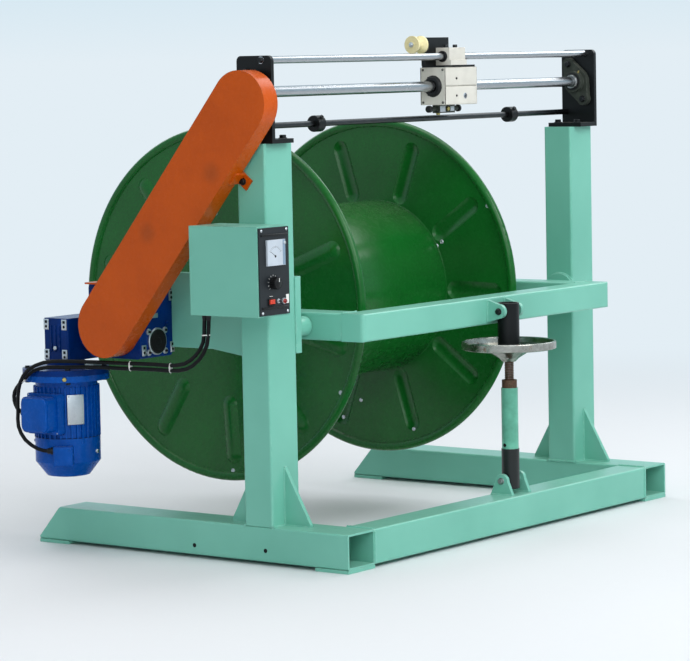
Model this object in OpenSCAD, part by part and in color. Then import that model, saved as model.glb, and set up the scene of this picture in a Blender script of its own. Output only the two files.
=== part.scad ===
// Wire take-up machine: welded tube stand, lifting yoke with a steel reel,
// worm-gear drive under a chain guard and a rolling-ring traverse on top.
// Millimetres, +Z up, X along the reel axis, the jack at the front (-Y).
// Sizes run from the middle of the base; placed() then moves the whole machine
// so that the origin lies on the floor under the middle of its overall box.

/* [Base] */
// Width over the two side tubes
base_width = 1350; // [1250:5:1500]
// Length of the side tubes along the floor
base_length = 920; // [860:5:1100]
// Width of the base and column tubes
tube_w = 100; // [80:1:110]
// Height of the base tubes
tube_h = 80; // [60:1:90]
// Wall of the base tubes, seen at their open front ends
tube_wall = 5; // [3:0.5:8]
// Thickness of the foot pads
foot_t = 8; // [5:1:12]
// Length of each foot pad
foot_l = 92; // [60:1:120]
// Run of the sloped rear end of a side tube
rear_slope = 65; // [40:1:90]
// Depth of the front cross tube
cross_d = 80; // [60:1:100]
// Rounding along the edges of every tube
tube_r = 5; // [2:0.5:8]

/* [Columns] */
// Depth of a column, front to rear
column_d = 80; // [60:1:90]
// Front face of the columns behind the front end of the base
column_setback = 210; // [200:1:230]
// Top of the columns above the floor
column_top = 948; // [930:1:980]
// Run of a column gusset along the base
gusset_run = 72; // [40:1:90]
// Rise of a column gusset
gusset_rise = 134; // [90:1:180]
// Thickness of a column gusset
gusset_t = 10; // [6:1:14]

/* [Yoke] */
// Gap between the right yoke arm and the right column
yoke_gap = 34; // [20:1:60]
// Middle of the yoke and reel, to the right of the middle of the base
yoke_shift = 22; // [0:1:30]
// Side of the square yoke tube
yoke_tube = 64; // [50:1:70]
// Height of the yoke pivot above the floor
pivot_z = 527; // [500:1:560]
// Pivot behind the front face of the columns
pivot_back = 36; // [20:1:40]
// Front face of the yoke ahead of the front face of the columns
yoke_reach = 132; // [125:1:150]
// Diameter of the pivot pins
pivot_d = 32; // [24:1:36]
// Diameter of the pivot bosses
boss_d = 46; // [40:1:56]
// Diameter of the round plate behind the right pivot boss
boss_plate_d = 92; // [80:1:100]
// Thickness of that plate
boss_plate_t = 10; // [6:1:14]

/* [Reel] */
// Diameter over the rolled rims of the flanges
flange_d = 860; // [780:2:880]
// Width over the two flanges
reel_w = 656; // [560:2:700]
// Diameter of the barrel
barrel_d = 438; // [360:2:480]
// Wall of the barrel
barrel_wall = 6; // [4:0.5:10]
// Reel axis behind the front face of the columns
reel_back = 444; // [424:1:450]
// Reel axis above the floor
reel_z = 548; // [535:1:565]
// Diameter of the reel shaft
reel_shaft_d = 60; // [40:1:70]
// Thickness of the flange sheet
sheet_t = 5; // [3:0.5:8]
// Diameter of the rolled rim
rim_d = 22; // [16:1:28]
// Number of pressed ribs on a flange
rib_count = 10; // [6:1:12]
// Height of a pressed rib above the sheet
rib_h = 9; // [5:1:12]
// Width of a pressed rib
rib_w = 46; // [30:1:60]
// Turn of the left flange about the shaft, as seen
left_turn = 22; // [0:1:35]
// Turn of the right flange about the shaft, as seen
right_turn = 1; // [0:1:35]

/* [Traverse] */
// Diameter of the smooth traverse shaft
shaft_d = 25; // [20:1:30]
// Traverse shaft above the floor
shaft_z = 1062; // [1055:1:1070]
// Diameter of the guide rod
guide_d = 17; // [14:1:20]
// Guide rod above the traverse shaft
guide_up = 71; // [68:1:76]
// Guide rod ahead of the traverse shaft
guide_ahead = 20; // [16:1:24]
// Diameter of the stop rod
stop_d = 14; // [10:1:16]
// Stop rod below the traverse shaft
stop_down = 77; // [74:1:80]
// Stop rod behind the traverse shaft
stop_behind = 37; // [30:1:40]
// Distance between the stop collars, centre to centre
stop_gap = 794; // [780:2:820]
// Diameter of the stop collars
collar_d = 38; // [30:1:44]
// Length of a stop collar
collar_l = 24; // [16:1:30]
// Width of a top bracket
bracket_w = 98; // [90:1:110]
// Height of a top bracket over the column
bracket_h = 195; // [190:1:210]
// Plate thickness of a top bracket
bracket_t = 10; // [6:1:12]
// Foot of a top bracket, reaching inwards
bracket_foot = 76; // [60:1:90]
// Length of the carriage along the shaft
carriage_l = 132; // [110:1:150]
// Depth of the carriage
carriage_d = 70; // [60:1:80]
// Height of the carriage
carriage_h = 90; // [80:1:96]
// Carriage centre from the middle of the machine, as seen
carriage_x = 82; // [-300:1:300]
// Length over the studs of the reversing lever
lever_l = 108; // [90:1:120]
// Width of the reversing lever
lever_w = 18; // [14:1:24]
// Depth of the reversing lever under the carriage
lever_h = 20; // [14:1:24]
// Thickness of the black plate on top of the carriage
cover_t = 5; // [3:1:8]
// Length of the block that slides on the guide rod
block_l = 66; // [50:1:80]
// Depth of that block
block_d = 40; // [34:1:50]
// Length of the upright plate that carries the guide roller
arm_plate_l = 100; // [80:1:110]
// Thickness of that plate
arm_plate_t = 10; // [6:1:12]
// Rise of that plate over the guide rod
arm_plate_rise = 46; // [40:1:50]
// Guide roller above the guide rod
roller_up = 29; // [26:1:34]
// Flange diameter of the nylon guide roller
roller_d = 42; // [30:1:48]
// Length of the guide roller
roller_l = 40; // [30:1:46]
// Diameter of the pin of the guide roller
roller_pin_d = 8; // [6:1:12]

/* [Drive] */
// Thickness of the drive plate on the left column
drive_plate_t = 20; // [14:1:24]
// Height of the drive plate
drive_plate_h = 174; // [160:1:190]
// Width of the main gearbox between its output faces
gearbox_w = 113; // [100:1:120]
// Length of the main gearbox along its worm
gearbox_l = 156; // [130:1:170]
// Height of the main gearbox
gearbox_h = 172; // [160:1:180]
// Worm axis below the output axis
worm_drop = 58; // [50:1:65]
// Length of the round flange between the two gearboxes
worm_flange_l = 55; // [40:1:70]
// Size of the first gearbox, along the worm of the second
first_w = 76; // [66:1:90]
// Height of the first gearbox
first_h = 100; // [90:1:110]
// Rounding of the gearbox housings
housing_r = 10; // [6:1:16]
// Radius of the chain guard ends
guard_r = 74; // [66:1:80]
// Depth of the chain guard
guard_d = 48; // [40:1:56]
// Lower end of the guard ahead of the reel axis
guard_low_y = 4; // [0:1:20]
// Lower end of the guard below the reel axis
guard_low_z = 17; // [0:1:30]
// Upper end of the guard ahead of the traverse shaft
guard_top_y = 6; // [0:1:10]
// Upper end of the guard below the traverse shaft
guard_top_z = 24; // [10:1:30]
// Width of a guard tab
tab_w = 28; // [20:1:36]
// Reach of a guard tab beyond the side of the guard
tab_l = 27; // [20:1:40]
// Thickness of a guard tab
tab_t = 4; // [3:0.5:6]
// Front tab from the lower end of the guard, along it
tab_at = 488; // [440:1:520]
// Diameter of the motor body
motor_d = 156; // [140:1:164]
// Height of the motor body
motor_h = 122; // [110:1:135]
// Height of the fan cover
fan_h = 92; // [80:1:100]
// Diameter of the motor flange
motor_flange_d = 204; // [180:1:210]
// Number of cooling fins round the motor
fin_count = 36; // [24:2:48]
// Height of a cooling fin
fin_h = 5; // [3:0.5:8]
// Thickness of a cooling fin
fin_t = 4; // [3:0.5:6]
// Side of the terminal box cover
terminal_w = 84; // [70:1:96]
// Terminal box out from the motor
terminal_out = 34; // [26:1:44]
// Width of the small box on the fan cover
fan_box_w = 46; // [36:1:54]
// Turn of that box towards the front
fan_box_turn = 35; // [0:1:60]
// Diameter of the motor leads
lead_d = 9; // [6:0.5:10]

/* [Control box] */
// Width of the control box
box_w = 108; // [96:1:120]
// Depth of the control box
box_d = 194; // [180:1:210]
// Height of the control box
box_h = 199; // [180:1:220]
// Bottom of the control box above the floor
box_z = 571; // [560:1:600]
// Front of the control box ahead of the columns
box_ahead = 60; // [50:1:70]

/* [Jack] */
// Jack axis ahead of the front face of the columns
jack_ahead = 164; // [160:1:195]
// Jack axis to the right of the middle of the base
jack_x = 38; // [0:1:50]
// Lower jack pin above the base
jack_pin_up = 33; // [30:1:40]
// Diameter of the black sleeve
sleeve_d = 52; // [44:1:56]
// Length of the black sleeve
sleeve_l = 118; // [110:1:130]
// Diameter of the jack screw
screw_d = 20; // [16:1:24]
// Diameter of the jack tube
jack_tube_d = 40; // [36:1:46]
// Diameter of the handwheel
wheel_d = 226; // [200:2:240]
// Diameter of the dished middle of the handwheel
dish_d = 104; // [90:2:120]
// Diameter of the handwheel hub
wheel_hub_d = 48; // [40:1:56]
// Height of the handwheel rim
wheel_rim = 16; // [12:1:20]
// Bare screw between the hub and the nut
screw_bare = 44; // [36:1:52]
// Height of the rusty nut
nut_h = 19; // [14:1:24]
// Upper, painted part of the jack tube
jack_tube_l = 146; // [130:1:160]
// Screw inside the jack tube
screw_in = 116; // [90:1:130]
// Thickness of the jack ears
ear_t = 10; // [8:1:14]
// Root of a jack ear on its tube
ear_root = 62; // [50:1:64]

/* [Hidden] */
$fn = 64;
e = 0.5;
// Running clearance on radius between a turning or sliding pair
run = 0.05;
// Free clearance between pieces that pass each other
free = 5;

x_out = base_width / 2;
x_in = x_out - tube_w;
x_mid = (x_out + x_in) / 2;
base_top = foot_t + tube_h;
y_front = -base_length / 2;
y_rear = base_length / 2;
rear_tip = 6;
col_y0 = y_front + column_setback;
col_y1 = col_y0 + column_d;
cross_y1 = y_front + cross_d;

pivot_y = col_y0 + pivot_back;
yoke_x = x_in - yoke_gap - yoke_shift;
arm_x = yoke_x - yoke_tube;
yoke_y0 = col_y0 - yoke_reach;
yoke_y1 = yoke_y0 + yoke_tube;
yoke_z0 = pivot_z - yoke_tube / 2;
yoke_z1 = pivot_z + yoke_tube / 2;
plate_x = x_in - drive_plate_t;
right_arm = yoke_shift + yoke_x;
left_arm = yoke_shift - yoke_x;

reel_y = col_y0 + reel_back;
reel_x = reel_w / 2;
rim_r = flange_d / 2 - rim_d / 2;
sheet_x = reel_x - rim_d / 2 - sheet_t / 2;
rib_r = (rib_w * rib_w / 4 + rib_h * rib_h) / (2 * rib_h);
rib_in = barrel_d / 2 + rib_w / 2 + 4;
rib_out = flange_d / 2 - rim_d - rib_w / 2 - 20;
block_half = reel_shaft_d / 2 + 26;
shaft_end = yoke_x + 14;

shaft_y = col_y0 + column_d / 2 - 11;
guide_y = shaft_y - guide_ahead;
guide_z = shaft_z + guide_up;
stop_y = shaft_y + stop_behind;
stop_z = shaft_z - stop_down;
bracket_x = x_out - 5;
bracket_y0 = shaft_y - bracket_w / 2;
bearing_t = 14;
bearing_pitch = 99;
bearing_tilt = 26;
bearing_boss = 52;

gear_x1 = -x_in;
gear_x0 = gear_x1 - gearbox_w;
gear_xm = (gear_x0 + gear_x1) / 2;
gear_y0 = reel_y - gearbox_l / 2;
gear_y1 = reel_y + gearbox_l / 2;
worm_z = reel_z - worm_drop;
gear_z0 = worm_z - 38;
gear_z1 = gear_z0 + gearbox_h;
first_y0 = gear_y1 + worm_flange_l;
first_y1 = first_y0 + first_w;
first_ym = (first_y0 + first_y1) / 2;
motor_x = gear_xm - 40;
first_x0 = motor_x - 32;
first_x1 = gear_xm + 50;
first_z0 = worm_z - first_h / 2;
first_z1 = worm_z + first_h / 2;
flange_z0 = first_z0 - 45;
flange_z1 = flange_z0 + 28;
body_z1 = flange_z0;
body_z0 = body_z1 - motor_h - 12;
fan_z0 = body_z0 - fan_h;
plate_y1 = gear_y1;
plate_z1 = reel_z + 98;
plate_z0 = plate_z1 - drive_plate_h;
hub_d = 84;

guard_x1 = gear_x0;
guard_x0 = guard_x1 - guard_d;
guard_yu = shaft_y - guard_top_y;
guard_zu = shaft_z - guard_top_z;
guard_yl = reel_y - guard_low_y;
guard_zl = reel_z - guard_low_z;
guard_len = sqrt(pow(guard_yl - guard_yu, 2) + pow(guard_zl - guard_zu, 2));
guard_lean = atan2(guard_zu - guard_zl, guard_yu - guard_yl);

box_x1 = -x_out;
box_x0 = box_x1 - box_w;
box_y0 = col_y0 - box_ahead;
box_y1 = box_y0 + box_d;
panel_t = 4;
knob_x = box_x0 + box_w * 0.45;
knob_z = box_z + box_h * 0.37;

jack_y = col_y0 - jack_ahead;
jack_pin_d = 14;
jack_pin_z = base_top + jack_pin_up;
ear_in = sleeve_d / 2 + free;
ear_r = 17;
sleeve_z0 = pivot_z + 18 - sleeve_l;
sleeve_z1 = pivot_z + 18;
hub_z1 = sleeve_z0 - 2;
hub_z0 = hub_z1 - 20;
wheel_z = sleeve_z0 + 16;
nut_z1 = hub_z0 - screw_bare;
nut_z0 = nut_z1 - nut_h;
jack_step_z = nut_z0 - jack_tube_l;
screw_z0 = nut_z0 - screw_in;
screw_z1 = sleeve_z0 + 30;

// Route of each motor lead, from the control box to the box it ends in
lead_x = (box_x0 + box_x1) / 2 - 6;
seat = 0.2;
fan_lead = [
  [lead_x, -116, box_z - seat], [lead_x, -115, 545], [lead_x, -110, 505], [-730, -83, 474],
  [-725, -45, 453], [-720, 0, 447], [-718, 48, 447], [-716, 100, 446], [-717, 150, 445],
  [-720, 200, 445], [-737, 250, 446], [-760, 302, 447], [-780, 336, 444], [-796, 370, 427],
  [-794, 398, 396], [-785, 415, 360], [-784, 417, 325], [-786, 415, 291], [-784, 396, 260],
  [-775, 366, 240], [-764.2, 345.6, 235], [-756.2, 334.1, 235]];
terminal_lead = [
  [lead_x, -128, box_z - seat], [lead_x, -127, 540], [lead_x, -121, 500], [-730, -92, 464],
  [-725, -50, 441], [-720, 0, 435], [-718, 48, 435], [-716, 100, 434], [-717, 150, 433],
  [-720, 200, 433], [-733, 250, 433], [-751, 300, 432], [-768, 335, 432], [-781, 366, 424],
  [-779, 396, 405], [-770, 424, 388], [-766, 443, 369], [-766, 445, 349], [-766, 437, 332],
  [-766, 423, 323], [-766, first_ym + terminal_w / 2 + seat, 320]];

// Middle of the machine's overall box, seen from above
middle_x = (min([for (p = fan_lead) p[0]]) - lead_d / 2 + bracket_x + 12) / 2;
middle_y = (jack_y - wheel_d / 2 + reel_y + flange_d / 2) / 2;

module placed() {
  translate([-middle_x, -middle_y, 0]) children();
}

module box(x0, x1, y0, y1, z0, z1) {
  translate([x0, y0, z0]) cube([x1 - x0, y1 - y0, z1 - z0]);
}

module rod_x(x0, x1, y, z, d) {
  translate([x0, y, z]) rotate([0, 90, 0]) cylinder(h = x1 - x0, d = d);
}

module rod_y(y0, y1, x, z, d) {
  translate([x, y1, z]) rotate([90, 0, 0]) cylinder(h = y1 - y0, d = d);
}

module rod_z(z0, z1, x, y, d) {
  translate([x, y, z0]) cylinder(h = z1 - z0, d = d);
}

// Sweeps a shape drawn in Y and Z along X
module along_x(x0, x1) {
  translate([x0, 0, 0]) rotate([90, 0, 90]) linear_extrude(x1 - x0) children();
}

module both_sides() {
  children();
  mirror([1, 0, 0]) children();
}

// Outline of a tube with rounded edges, about the middle
function rounded(w, h, r) = [
  for (c = [[1, 1, 0], [-1, 1, 90], [-1, -1, 180], [1, -1, 270]]) for (a = [0 : 30 : 90])
    [c[0] * (w / 2 - r) + r * cos(c[2] + a), c[1] * (h / 2 - r) + r * sin(c[2] + a)]];

module bar_x(x0, x1, y0, y1, z0, z1, r = tube_r) {
  along_x(x0, x1) translate([(y0 + y1) / 2, (z0 + z1) / 2]) polygon(rounded(y1 - y0, z1 - z0, r));
}

module bar_y(x0, x1, y0, y1, z0, z1, r = tube_r) {
  translate([(x0 + x1) / 2, y1, (z0 + z1) / 2]) rotate([90, 0, 0])
    linear_extrude(y1 - y0) polygon(rounded(x1 - x0, z1 - z0, r));
}

module bar_z(x0, x1, y0, y1, z0, z1, r = tube_r) {
  translate([(x0 + x1) / 2, (y0 + y1) / 2, z0])
    linear_extrude(z1 - z0) polygon(rounded(x1 - x0, y1 - y0, r));
}

function slope_y(z) = y_rear - rear_slope * (z - foot_t - rear_tip) / (tube_h - rear_tip);

// One side tube: open at the front, closed by the sloped rear end
module side_tube() {
  z0 = foot_t + tube_wall;
  z1 = base_top - tube_wall;
  back = 2 * tube_wall;
  difference() {
    intersection() {
      bar_y(x_in, x_out, y_front, y_rear, foot_t, base_top);
      along_x(x_in, x_out)
        polygon([[y_front, foot_t], [y_rear, foot_t], [y_rear, foot_t + rear_tip],
                 [y_rear - rear_slope, base_top], [y_front, base_top]]);
    }
    along_x(x_in + tube_wall, x_out - tube_wall)
      polygon([[y_front - 1, z0], [slope_y(z0) - back, z0], [slope_y(z1) - back, z1],
               [y_front - 1, z1]]);
  }
}

module base_side_tubes() {
  color("mediumaquamarine") placed() both_sides() side_tube();
}

module front_base_tube() {
  color("mediumaquamarine") placed() bar_x(-x_in, x_in, y_front, cross_y1, foot_t, base_top);
}

module foot_pads() {
  color("mediumaquamarine") placed() both_sides() {
    box(x_in, x_out, y_front, y_front + foot_l, 0, foot_t);
    box(x_in, x_out, y_rear - foot_l, y_rear, 0, foot_t);
  }
}

module left_column() {
  color("mediumaquamarine") placed() bar_z(-x_out, -x_in, col_y0, col_y1, base_top, column_top);
}

module right_column() {
  color("mediumaquamarine") placed() bar_z(x_in, x_out, col_y0, col_y1, base_top, column_top);
}

module gusset() {
  along_x(x_mid - gusset_t / 2, x_mid + gusset_t / 2)
    polygon([[0, base_top], [gusset_run, base_top], [gusset_run, base_top + 5],
             [0, base_top + gusset_rise]]);
}

module column_gussets() {
  color("mediumaquamarine") placed() both_sides() {
    translate([0, col_y1, 0]) gusset();
    translate([0, col_y0, 0]) mirror([0, 1, 0]) gusset();
  }
}

// Thick plate on the inner face of the left column that carries the drive
module drive_plate() {
  dip = 12;
  color("mediumaquamarine") placed() difference() {
    along_x(-x_in, -plate_x)
      polygon([[col_y0, plate_z0], [col_y1, plate_z0], [col_y1, plate_z0 - dip],
               [col_y1 + 80, plate_z0 - dip], [col_y1 + 164, plate_z0],
               [plate_y1, plate_z0], [plate_y1, plate_z1], [col_y0, plate_z1]]);
    rod_x(-x_in - 1, -plate_x + 1, reel_y, reel_z, hub_d);
  }
}

module pivot_pins() {
  shy = 2;
  color("mediumaquamarine") placed() {
    rod_x(x_in - boss_plate_t, x_in, pivot_y, pivot_z, boss_plate_d);
    rod_x(right_arm + shy, x_in - boss_plate_t + e, pivot_y, pivot_z, boss_d);
    rod_x(right_arm - yoke_tube + free, right_arm + shy + e, pivot_y, pivot_z, pivot_d);
    rod_x(-plate_x, left_arm - shy, pivot_y, pivot_z, boss_d);
    rod_x(left_arm - shy - e, left_arm + yoke_tube - free, pivot_y, pivot_z, pivot_d);
  }
}

// A welded ear: wide at its root, rounded at the pin
module ear_shape(root, reach, r) {
  polygon([[0, -root / 2], [reach, -r], [reach, r], [0, root / 2]]);
  translate([reach, 0]) circle(r);
}

module jack_base_ears() {
  color("mediumaquamarine") placed() {
    translate([jack_x, jack_y, base_top]) both_sides()
      along_x(ear_in, ear_in + ear_t) rotate(90) ear_shape(ear_root, jack_pin_up, ear_r);
    rod_x(jack_x - ear_in - e, jack_x + ear_in + e, jack_y, jack_pin_z, jack_pin_d);
  }
}

module jack_tube() {
  step = 1.5;
  color("mediumaquamarine") placed() difference() {
    union() {
      rod_z(jack_step_z, nut_z0, jack_x, jack_y, jack_tube_d);
      rod_z(base_top + 12, jack_step_z, jack_x, jack_y, jack_tube_d + 2 * step);
    }
    rod_z(screw_z0 - 20, nut_z0 + 1, jack_x, jack_y, screw_d + 6);
    rod_x(jack_x - ear_in, jack_x + ear_in, jack_y, jack_pin_z, jack_pin_d);
  }
}

module jack_nut() {
  color("sienna") placed() difference() {
    rod_z(nut_z0, nut_z1, jack_x, jack_y, jack_tube_d - 4);
    rod_z(nut_z0 - 1, nut_z1 + 1, jack_x, jack_y, screw_d + 2 * run);
  }
}

module control_box() {
  color("mediumaquamarine") placed() box(box_x0, box_x1, box_y0, box_y1, box_z, box_z + box_h);
}

module control_panel() {
  color("dimgray") placed() difference() {
    box(box_x0 + 2, box_x1 - 2, box_y0 - panel_t, box_y0, box_z + 3, box_z + box_h - 3);
    rod_y(box_y0 - panel_t - 1, box_y0 + 1, knob_x, knob_z, 8 + 2 * run);
  }
}

module panel_meter() {
  color("white") placed()
    box(box_x0 + 25, box_x1 - 20, box_y0 - panel_t - 5, box_y0 - panel_t,
        box_z + 112, box_z + box_h - 30);
}

module panel_switches() {
  color("firebrick") placed() {
    box(box_x0 + 32, box_x0 + 48, box_y0 - panel_t - 5, box_y0 - panel_t, box_z + 28, box_z + 38);
    rod_y(box_y0 - panel_t - 6, box_y0 - panel_t, box_x1 - 24, box_z + 32, 10);
  }
}

module panel_knob() {
  color("black") placed() {
    rod_y(box_y0 - panel_t - 16, box_y0 - panel_t - 1, knob_x, knob_z, 26);
    rod_y(box_y0 - panel_t - 1 - e, box_y0, knob_x, knob_z, 8);
  }
}

module top_brackets() {
  corner = 12;
  color("black") placed() both_sides() difference() {
    union() {
      along_x(bracket_x - bracket_t, bracket_x) {
        translate([bracket_y0, column_top]) square([bracket_w, bracket_h - corner]);
        translate([bracket_y0 + corner, column_top]) square([bracket_w - 2 * corner, bracket_h]);
        for (y = [bracket_y0 + corner, bracket_y0 + bracket_w - corner])
          translate([y, column_top + bracket_h - corner]) circle(corner);
      }
      box(bracket_x - bracket_foot, bracket_x, bracket_y0, bracket_y0 + bracket_w,
          column_top, column_top + bracket_t);
    }
    rod_x(bracket_x - bracket_t - 1, bracket_x + 1, shaft_y, shaft_z, shaft_d + 4);
    rod_x(bracket_x - bracket_t - 1, bracket_x + 1, guide_y, guide_z, guide_d);
    rod_x(bracket_x - bracket_t - 1, bracket_x + 1, stop_y, stop_z, stop_d);
  }
}

// Two-bolt flange bearing: rhombic foot, round boss, bored for the shaft
module flange_bearing() {
  lobe = 16;
  mid = 34;
  difference() {
    union() {
      rotate([0, -90, 0]) rotate(bearing_tilt) linear_extrude(bearing_t) {
        for (s = [-1, 1]) translate([s * bearing_pitch / 2, 0]) circle(lobe);
        circle(mid);
        polygon([[-bearing_pitch / 2, -lobe], [-14, -mid + 3], [14, -mid + 3],
                 [bearing_pitch / 2, -lobe], [bearing_pitch / 2, lobe], [14, mid - 3],
                 [-14, mid - 3], [-bearing_pitch / 2, lobe]]);
      }
      rod_x(-bearing_t - 14, 0, 0, 0, bearing_boss);
    }
    rod_x(-bearing_t - 15, 1, 0, 0, shaft_d + 2 * run);
  }
}

module flange_bearings() {
  color("dimgray") placed() for (s = [-1, 1])
    translate([s * (bracket_x - bracket_t), shaft_y, shaft_z])
      rotate([0, 0, s < 0 ? 180 : 0]) flange_bearing();
}

module guide_rod() {
  color("lightgray") placed() rod_x(-bracket_x, bracket_x, guide_y, guide_z, guide_d);
}

module stop_rod() {
  color("black") placed() rod_x(-bracket_x, bracket_x, stop_y, stop_z, stop_d);
}

module stop_collars() {
  color("black") placed() both_sides() difference() {
    rod_x(stop_gap / 2 - collar_l / 2, stop_gap / 2 + collar_l / 2, stop_y, stop_z, collar_d);
    rod_x(stop_gap / 2 - collar_l, stop_gap / 2 + collar_l, stop_y, stop_z, stop_d);
  }
}

// Main worm gearbox, its output on the reel axis and its worm along Y
module main_gearbox() {
  color("midnightblue") placed() {
    bar_x(gear_x0, gear_x1, gear_y0, gear_y1, gear_z0, gear_z1, housing_r);
    rod_x(gear_x1 - e, -plate_x, reel_y, reel_z, hub_d - 2);
  }
}

module worm_end_cap() {
  color("black") placed() rod_y(gear_y0 - 6, gear_y0, gear_xm, worm_z, 56);
}

module gearbox_flange() {
  color("midnightblue") placed() rod_y(gear_y1, first_y0, gear_xm, worm_z, 64);
}

module first_gearbox() {
  color("midnightblue") placed() {
    bar_z(first_x0, first_x1, first_y0, first_y1, first_z0, first_z1, housing_r / 2);
    rod_z(flange_z1 - e, first_z0 + e, motor_x, first_ym, 90);
    rod_z((flange_z0 + flange_z1) / 2, flange_z1, motor_x, first_ym, motor_flange_d);
  }
}

// Finned body under a round flange, with a plain neck between them
module motor_body() {
  neck = 14;
  root = motor_d / 2 - fin_h;
  color("mediumblue") placed() translate([motor_x, first_ym, 0]) {
    translate([0, 0, flange_z0]) cylinder(h = (flange_z1 - flange_z0) / 2, d = motor_flange_d);
    translate([0, 0, body_z1 - neck - e]) cylinder(h = neck + 2 * e, r = root);
    translate([0, 0, body_z0]) linear_extrude(body_z1 - neck - body_z0) {
      circle(root);
      for (i = [0 : fin_count - 1]) rotate(360 / fin_count * i)
        translate([root - fin_t, -fin_t / 2]) square([fin_h + fin_t, fin_t]);
    }
  }
}

module motor_fan_cover() {
  r = motor_d / 2 - 1;
  color("mediumblue") placed() translate([motor_x, first_ym, 0]) rotate_extrude()
    polygon([[0, fan_z0], [r * 0.66, fan_z0], [r, fan_z0 + r * 0.44], [r, body_z0], [0, body_z0]]);
}

// Terminal box on the motor and a small box on the fan cover
module motor_boxes() {
  side = motor_x - motor_d / 2;
  half = terminal_w / 2;
  lip = 6;
  z = (body_z0 + body_z1) / 2 - 8;
  fan_z = fan_z0 + 30;
  color("mediumblue") placed() {
    difference() {
      union() {
        bar_x(side - terminal_out, side - lip, first_ym - half, first_ym + half, z - half, z + half,
              terminal_w / 6);
        bar_x(side - lip - e, motor_x - motor_d / 4, first_ym - half - lip, first_ym + half + lip,
              z - half - lip, z + half + lip);
      }
      rod_z(body_z0 - 1, body_z1 + 1, motor_x, first_ym, motor_d + seat);
    }
    translate([motor_x, first_ym, 0]) rotate(fan_box_turn) difference() {
      bar_x(-motor_d / 2 - fan_box_w * 0.4, -motor_d / 4, -fan_box_w / 2, fan_box_w / 2,
            fan_z, fan_z + fan_box_w, 3);
      translate([0, 0, fan_z0 - 1]) cylinder(h = fan_h + 2, d = motor_d - 2 + seat);
    }
  }
}

function unit(v) = v / norm(v);

// A point a share u of the way along the smooth curve from p[i] to p[i + 1]
function on_curve(p, i, u) = let (
  a = p[max(i - 1, 0)], b = p[i], c = p[i + 1], d = p[min(i + 2, len(p) - 1)])
  b + u / 2 * (c - a + u * (2 * a - 5 * b + 4 * c - d + u * (3 * b - a - 3 * c + d)));

// A round lead swept along its route
module lead(route) {
  sides = 10;
  path = concat([for (i = [0 : len(route) - 2]) for (u = [0, 0.5]) on_curve(route, i, u)],
                [route[len(route) - 1]]);
  last = len(path) - 1;
  rings = [for (i = [0 : last]) let (
      t = unit(path[min(i + 1, last)] - path[max(i - 1, 0)]), n = unit(cross(t, [1, 0, 0])), b = cross(t, n))
    for (k = [0 : sides - 1]) path[i] + lead_d / 2 * (n * cos(360 / sides * k) + b * sin(360 / sides * k))];
  polyhedron(rings, concat(
    [[for (k = [0 : sides - 1]) sides - 1 - k], [for (k = [0 : sides - 1]) last * sides + k]],
    [for (i = [0 : last - 1]) for (k = [0 : sides - 1]) let (n = (k + 1) % sides)
      [i * sides + k, i * sides + n, (i + 1) * sides + n]],
    [for (i = [0 : last - 1]) for (k = [0 : sides - 1]) let (n = (k + 1) % sides)
      [i * sides + k, (i + 1) * sides + n, (i + 1) * sides + k]]));
}

module motor_leads() {
  color("black") placed() {
    lead(fan_lead);
    lead(terminal_lead);
  }
}

// Long round-ended outline; its straight sides lie a hair inside the end arcs
module guard_shape(r) {
  half = r * cos(3);
  translate([guard_yl, guard_zl]) {
    circle(r);
    rotate(guard_lean) {
      translate([0, -half]) square([guard_len, 2 * half]);
      translate([guard_len, 0]) circle(r);
    }
  }
}

// Bent tab on the front side of the guard, flat on the column
module front_tab(x0, x1, reach) {
  along_x(x0, x1) translate([guard_yl, guard_zl]) rotate(guard_lean)
    translate([tab_at, guard_r - 10]) square([tab_w, 10 + reach]);
}

module chain_guard() {
  bend = 24;
  color("chocolate") placed() difference() {
    union() {
      along_x(guard_x0, guard_x1) guard_shape(guard_r);
      front_tab(guard_x1 - bend, -x_out, tab_t);
      front_tab(-x_out - tab_t, -x_out, tab_l);
      box(guard_x1 - bend, guard_x1 + bend, guard_yl, gear_y1 - housing_r, gear_z1, gear_z1 + tab_t);
    }
    rod_x(guard_x1 - 30, guard_x1 + 1, shaft_y, shaft_z, shaft_d + 2 * free);
  }
}

module yoke_front_tube() {
  color("mediumaquamarine") placed() intersection() {
    bar_x(left_arm, right_arm, yoke_y0, yoke_y1, yoke_z0, yoke_z1);
    bar_z(left_arm, right_arm, yoke_y0, yoke_y1 + 2 * tube_r, yoke_z0, yoke_z1, 2 * tube_r);
  }
}

// Arms run back from the front tube and end in blocks bored for the reel shaft
module yoke_arms() {
  color("mediumaquamarine") placed() translate([yoke_shift, 0, 0]) both_sides() difference() {
    union() {
      bar_y(arm_x, yoke_x, yoke_y1, reel_y + block_half, yoke_z0, yoke_z1);
      box(arm_x, yoke_x, reel_y - block_half, reel_y + block_half, yoke_z0 + tube_r,
          reel_z + block_half);
    }
    rod_x(arm_x - 1, yoke_x + 1, pivot_y, pivot_z, pivot_d + 2 * run);
    rod_x(arm_x - 1, yoke_x + 1, reel_y, reel_z, reel_shaft_d + 2 * run);
  }
}

module yoke_jack_ears() {
  reach = yoke_y0 - jack_y;
  color("mediumaquamarine") placed() translate([jack_x, yoke_y0, pivot_z]) both_sides()
    along_x(ear_in, ear_in + ear_t) rotate(180) ear_shape(yoke_tube - 2 * tube_r, reach, ear_r);
}

// One pressed rib: a shallow round crest with rounded ends, swept along a radius
module rib(r) {
  rotate([0, 0, 90]) rotate([0, 90, 0]) translate([0, 0, rib_in]) {
    cylinder(h = rib_out - rib_in, r = r);
    sphere(r);
    translate([0, 0, rib_out - rib_in]) sphere(r);
  }
}

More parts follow.
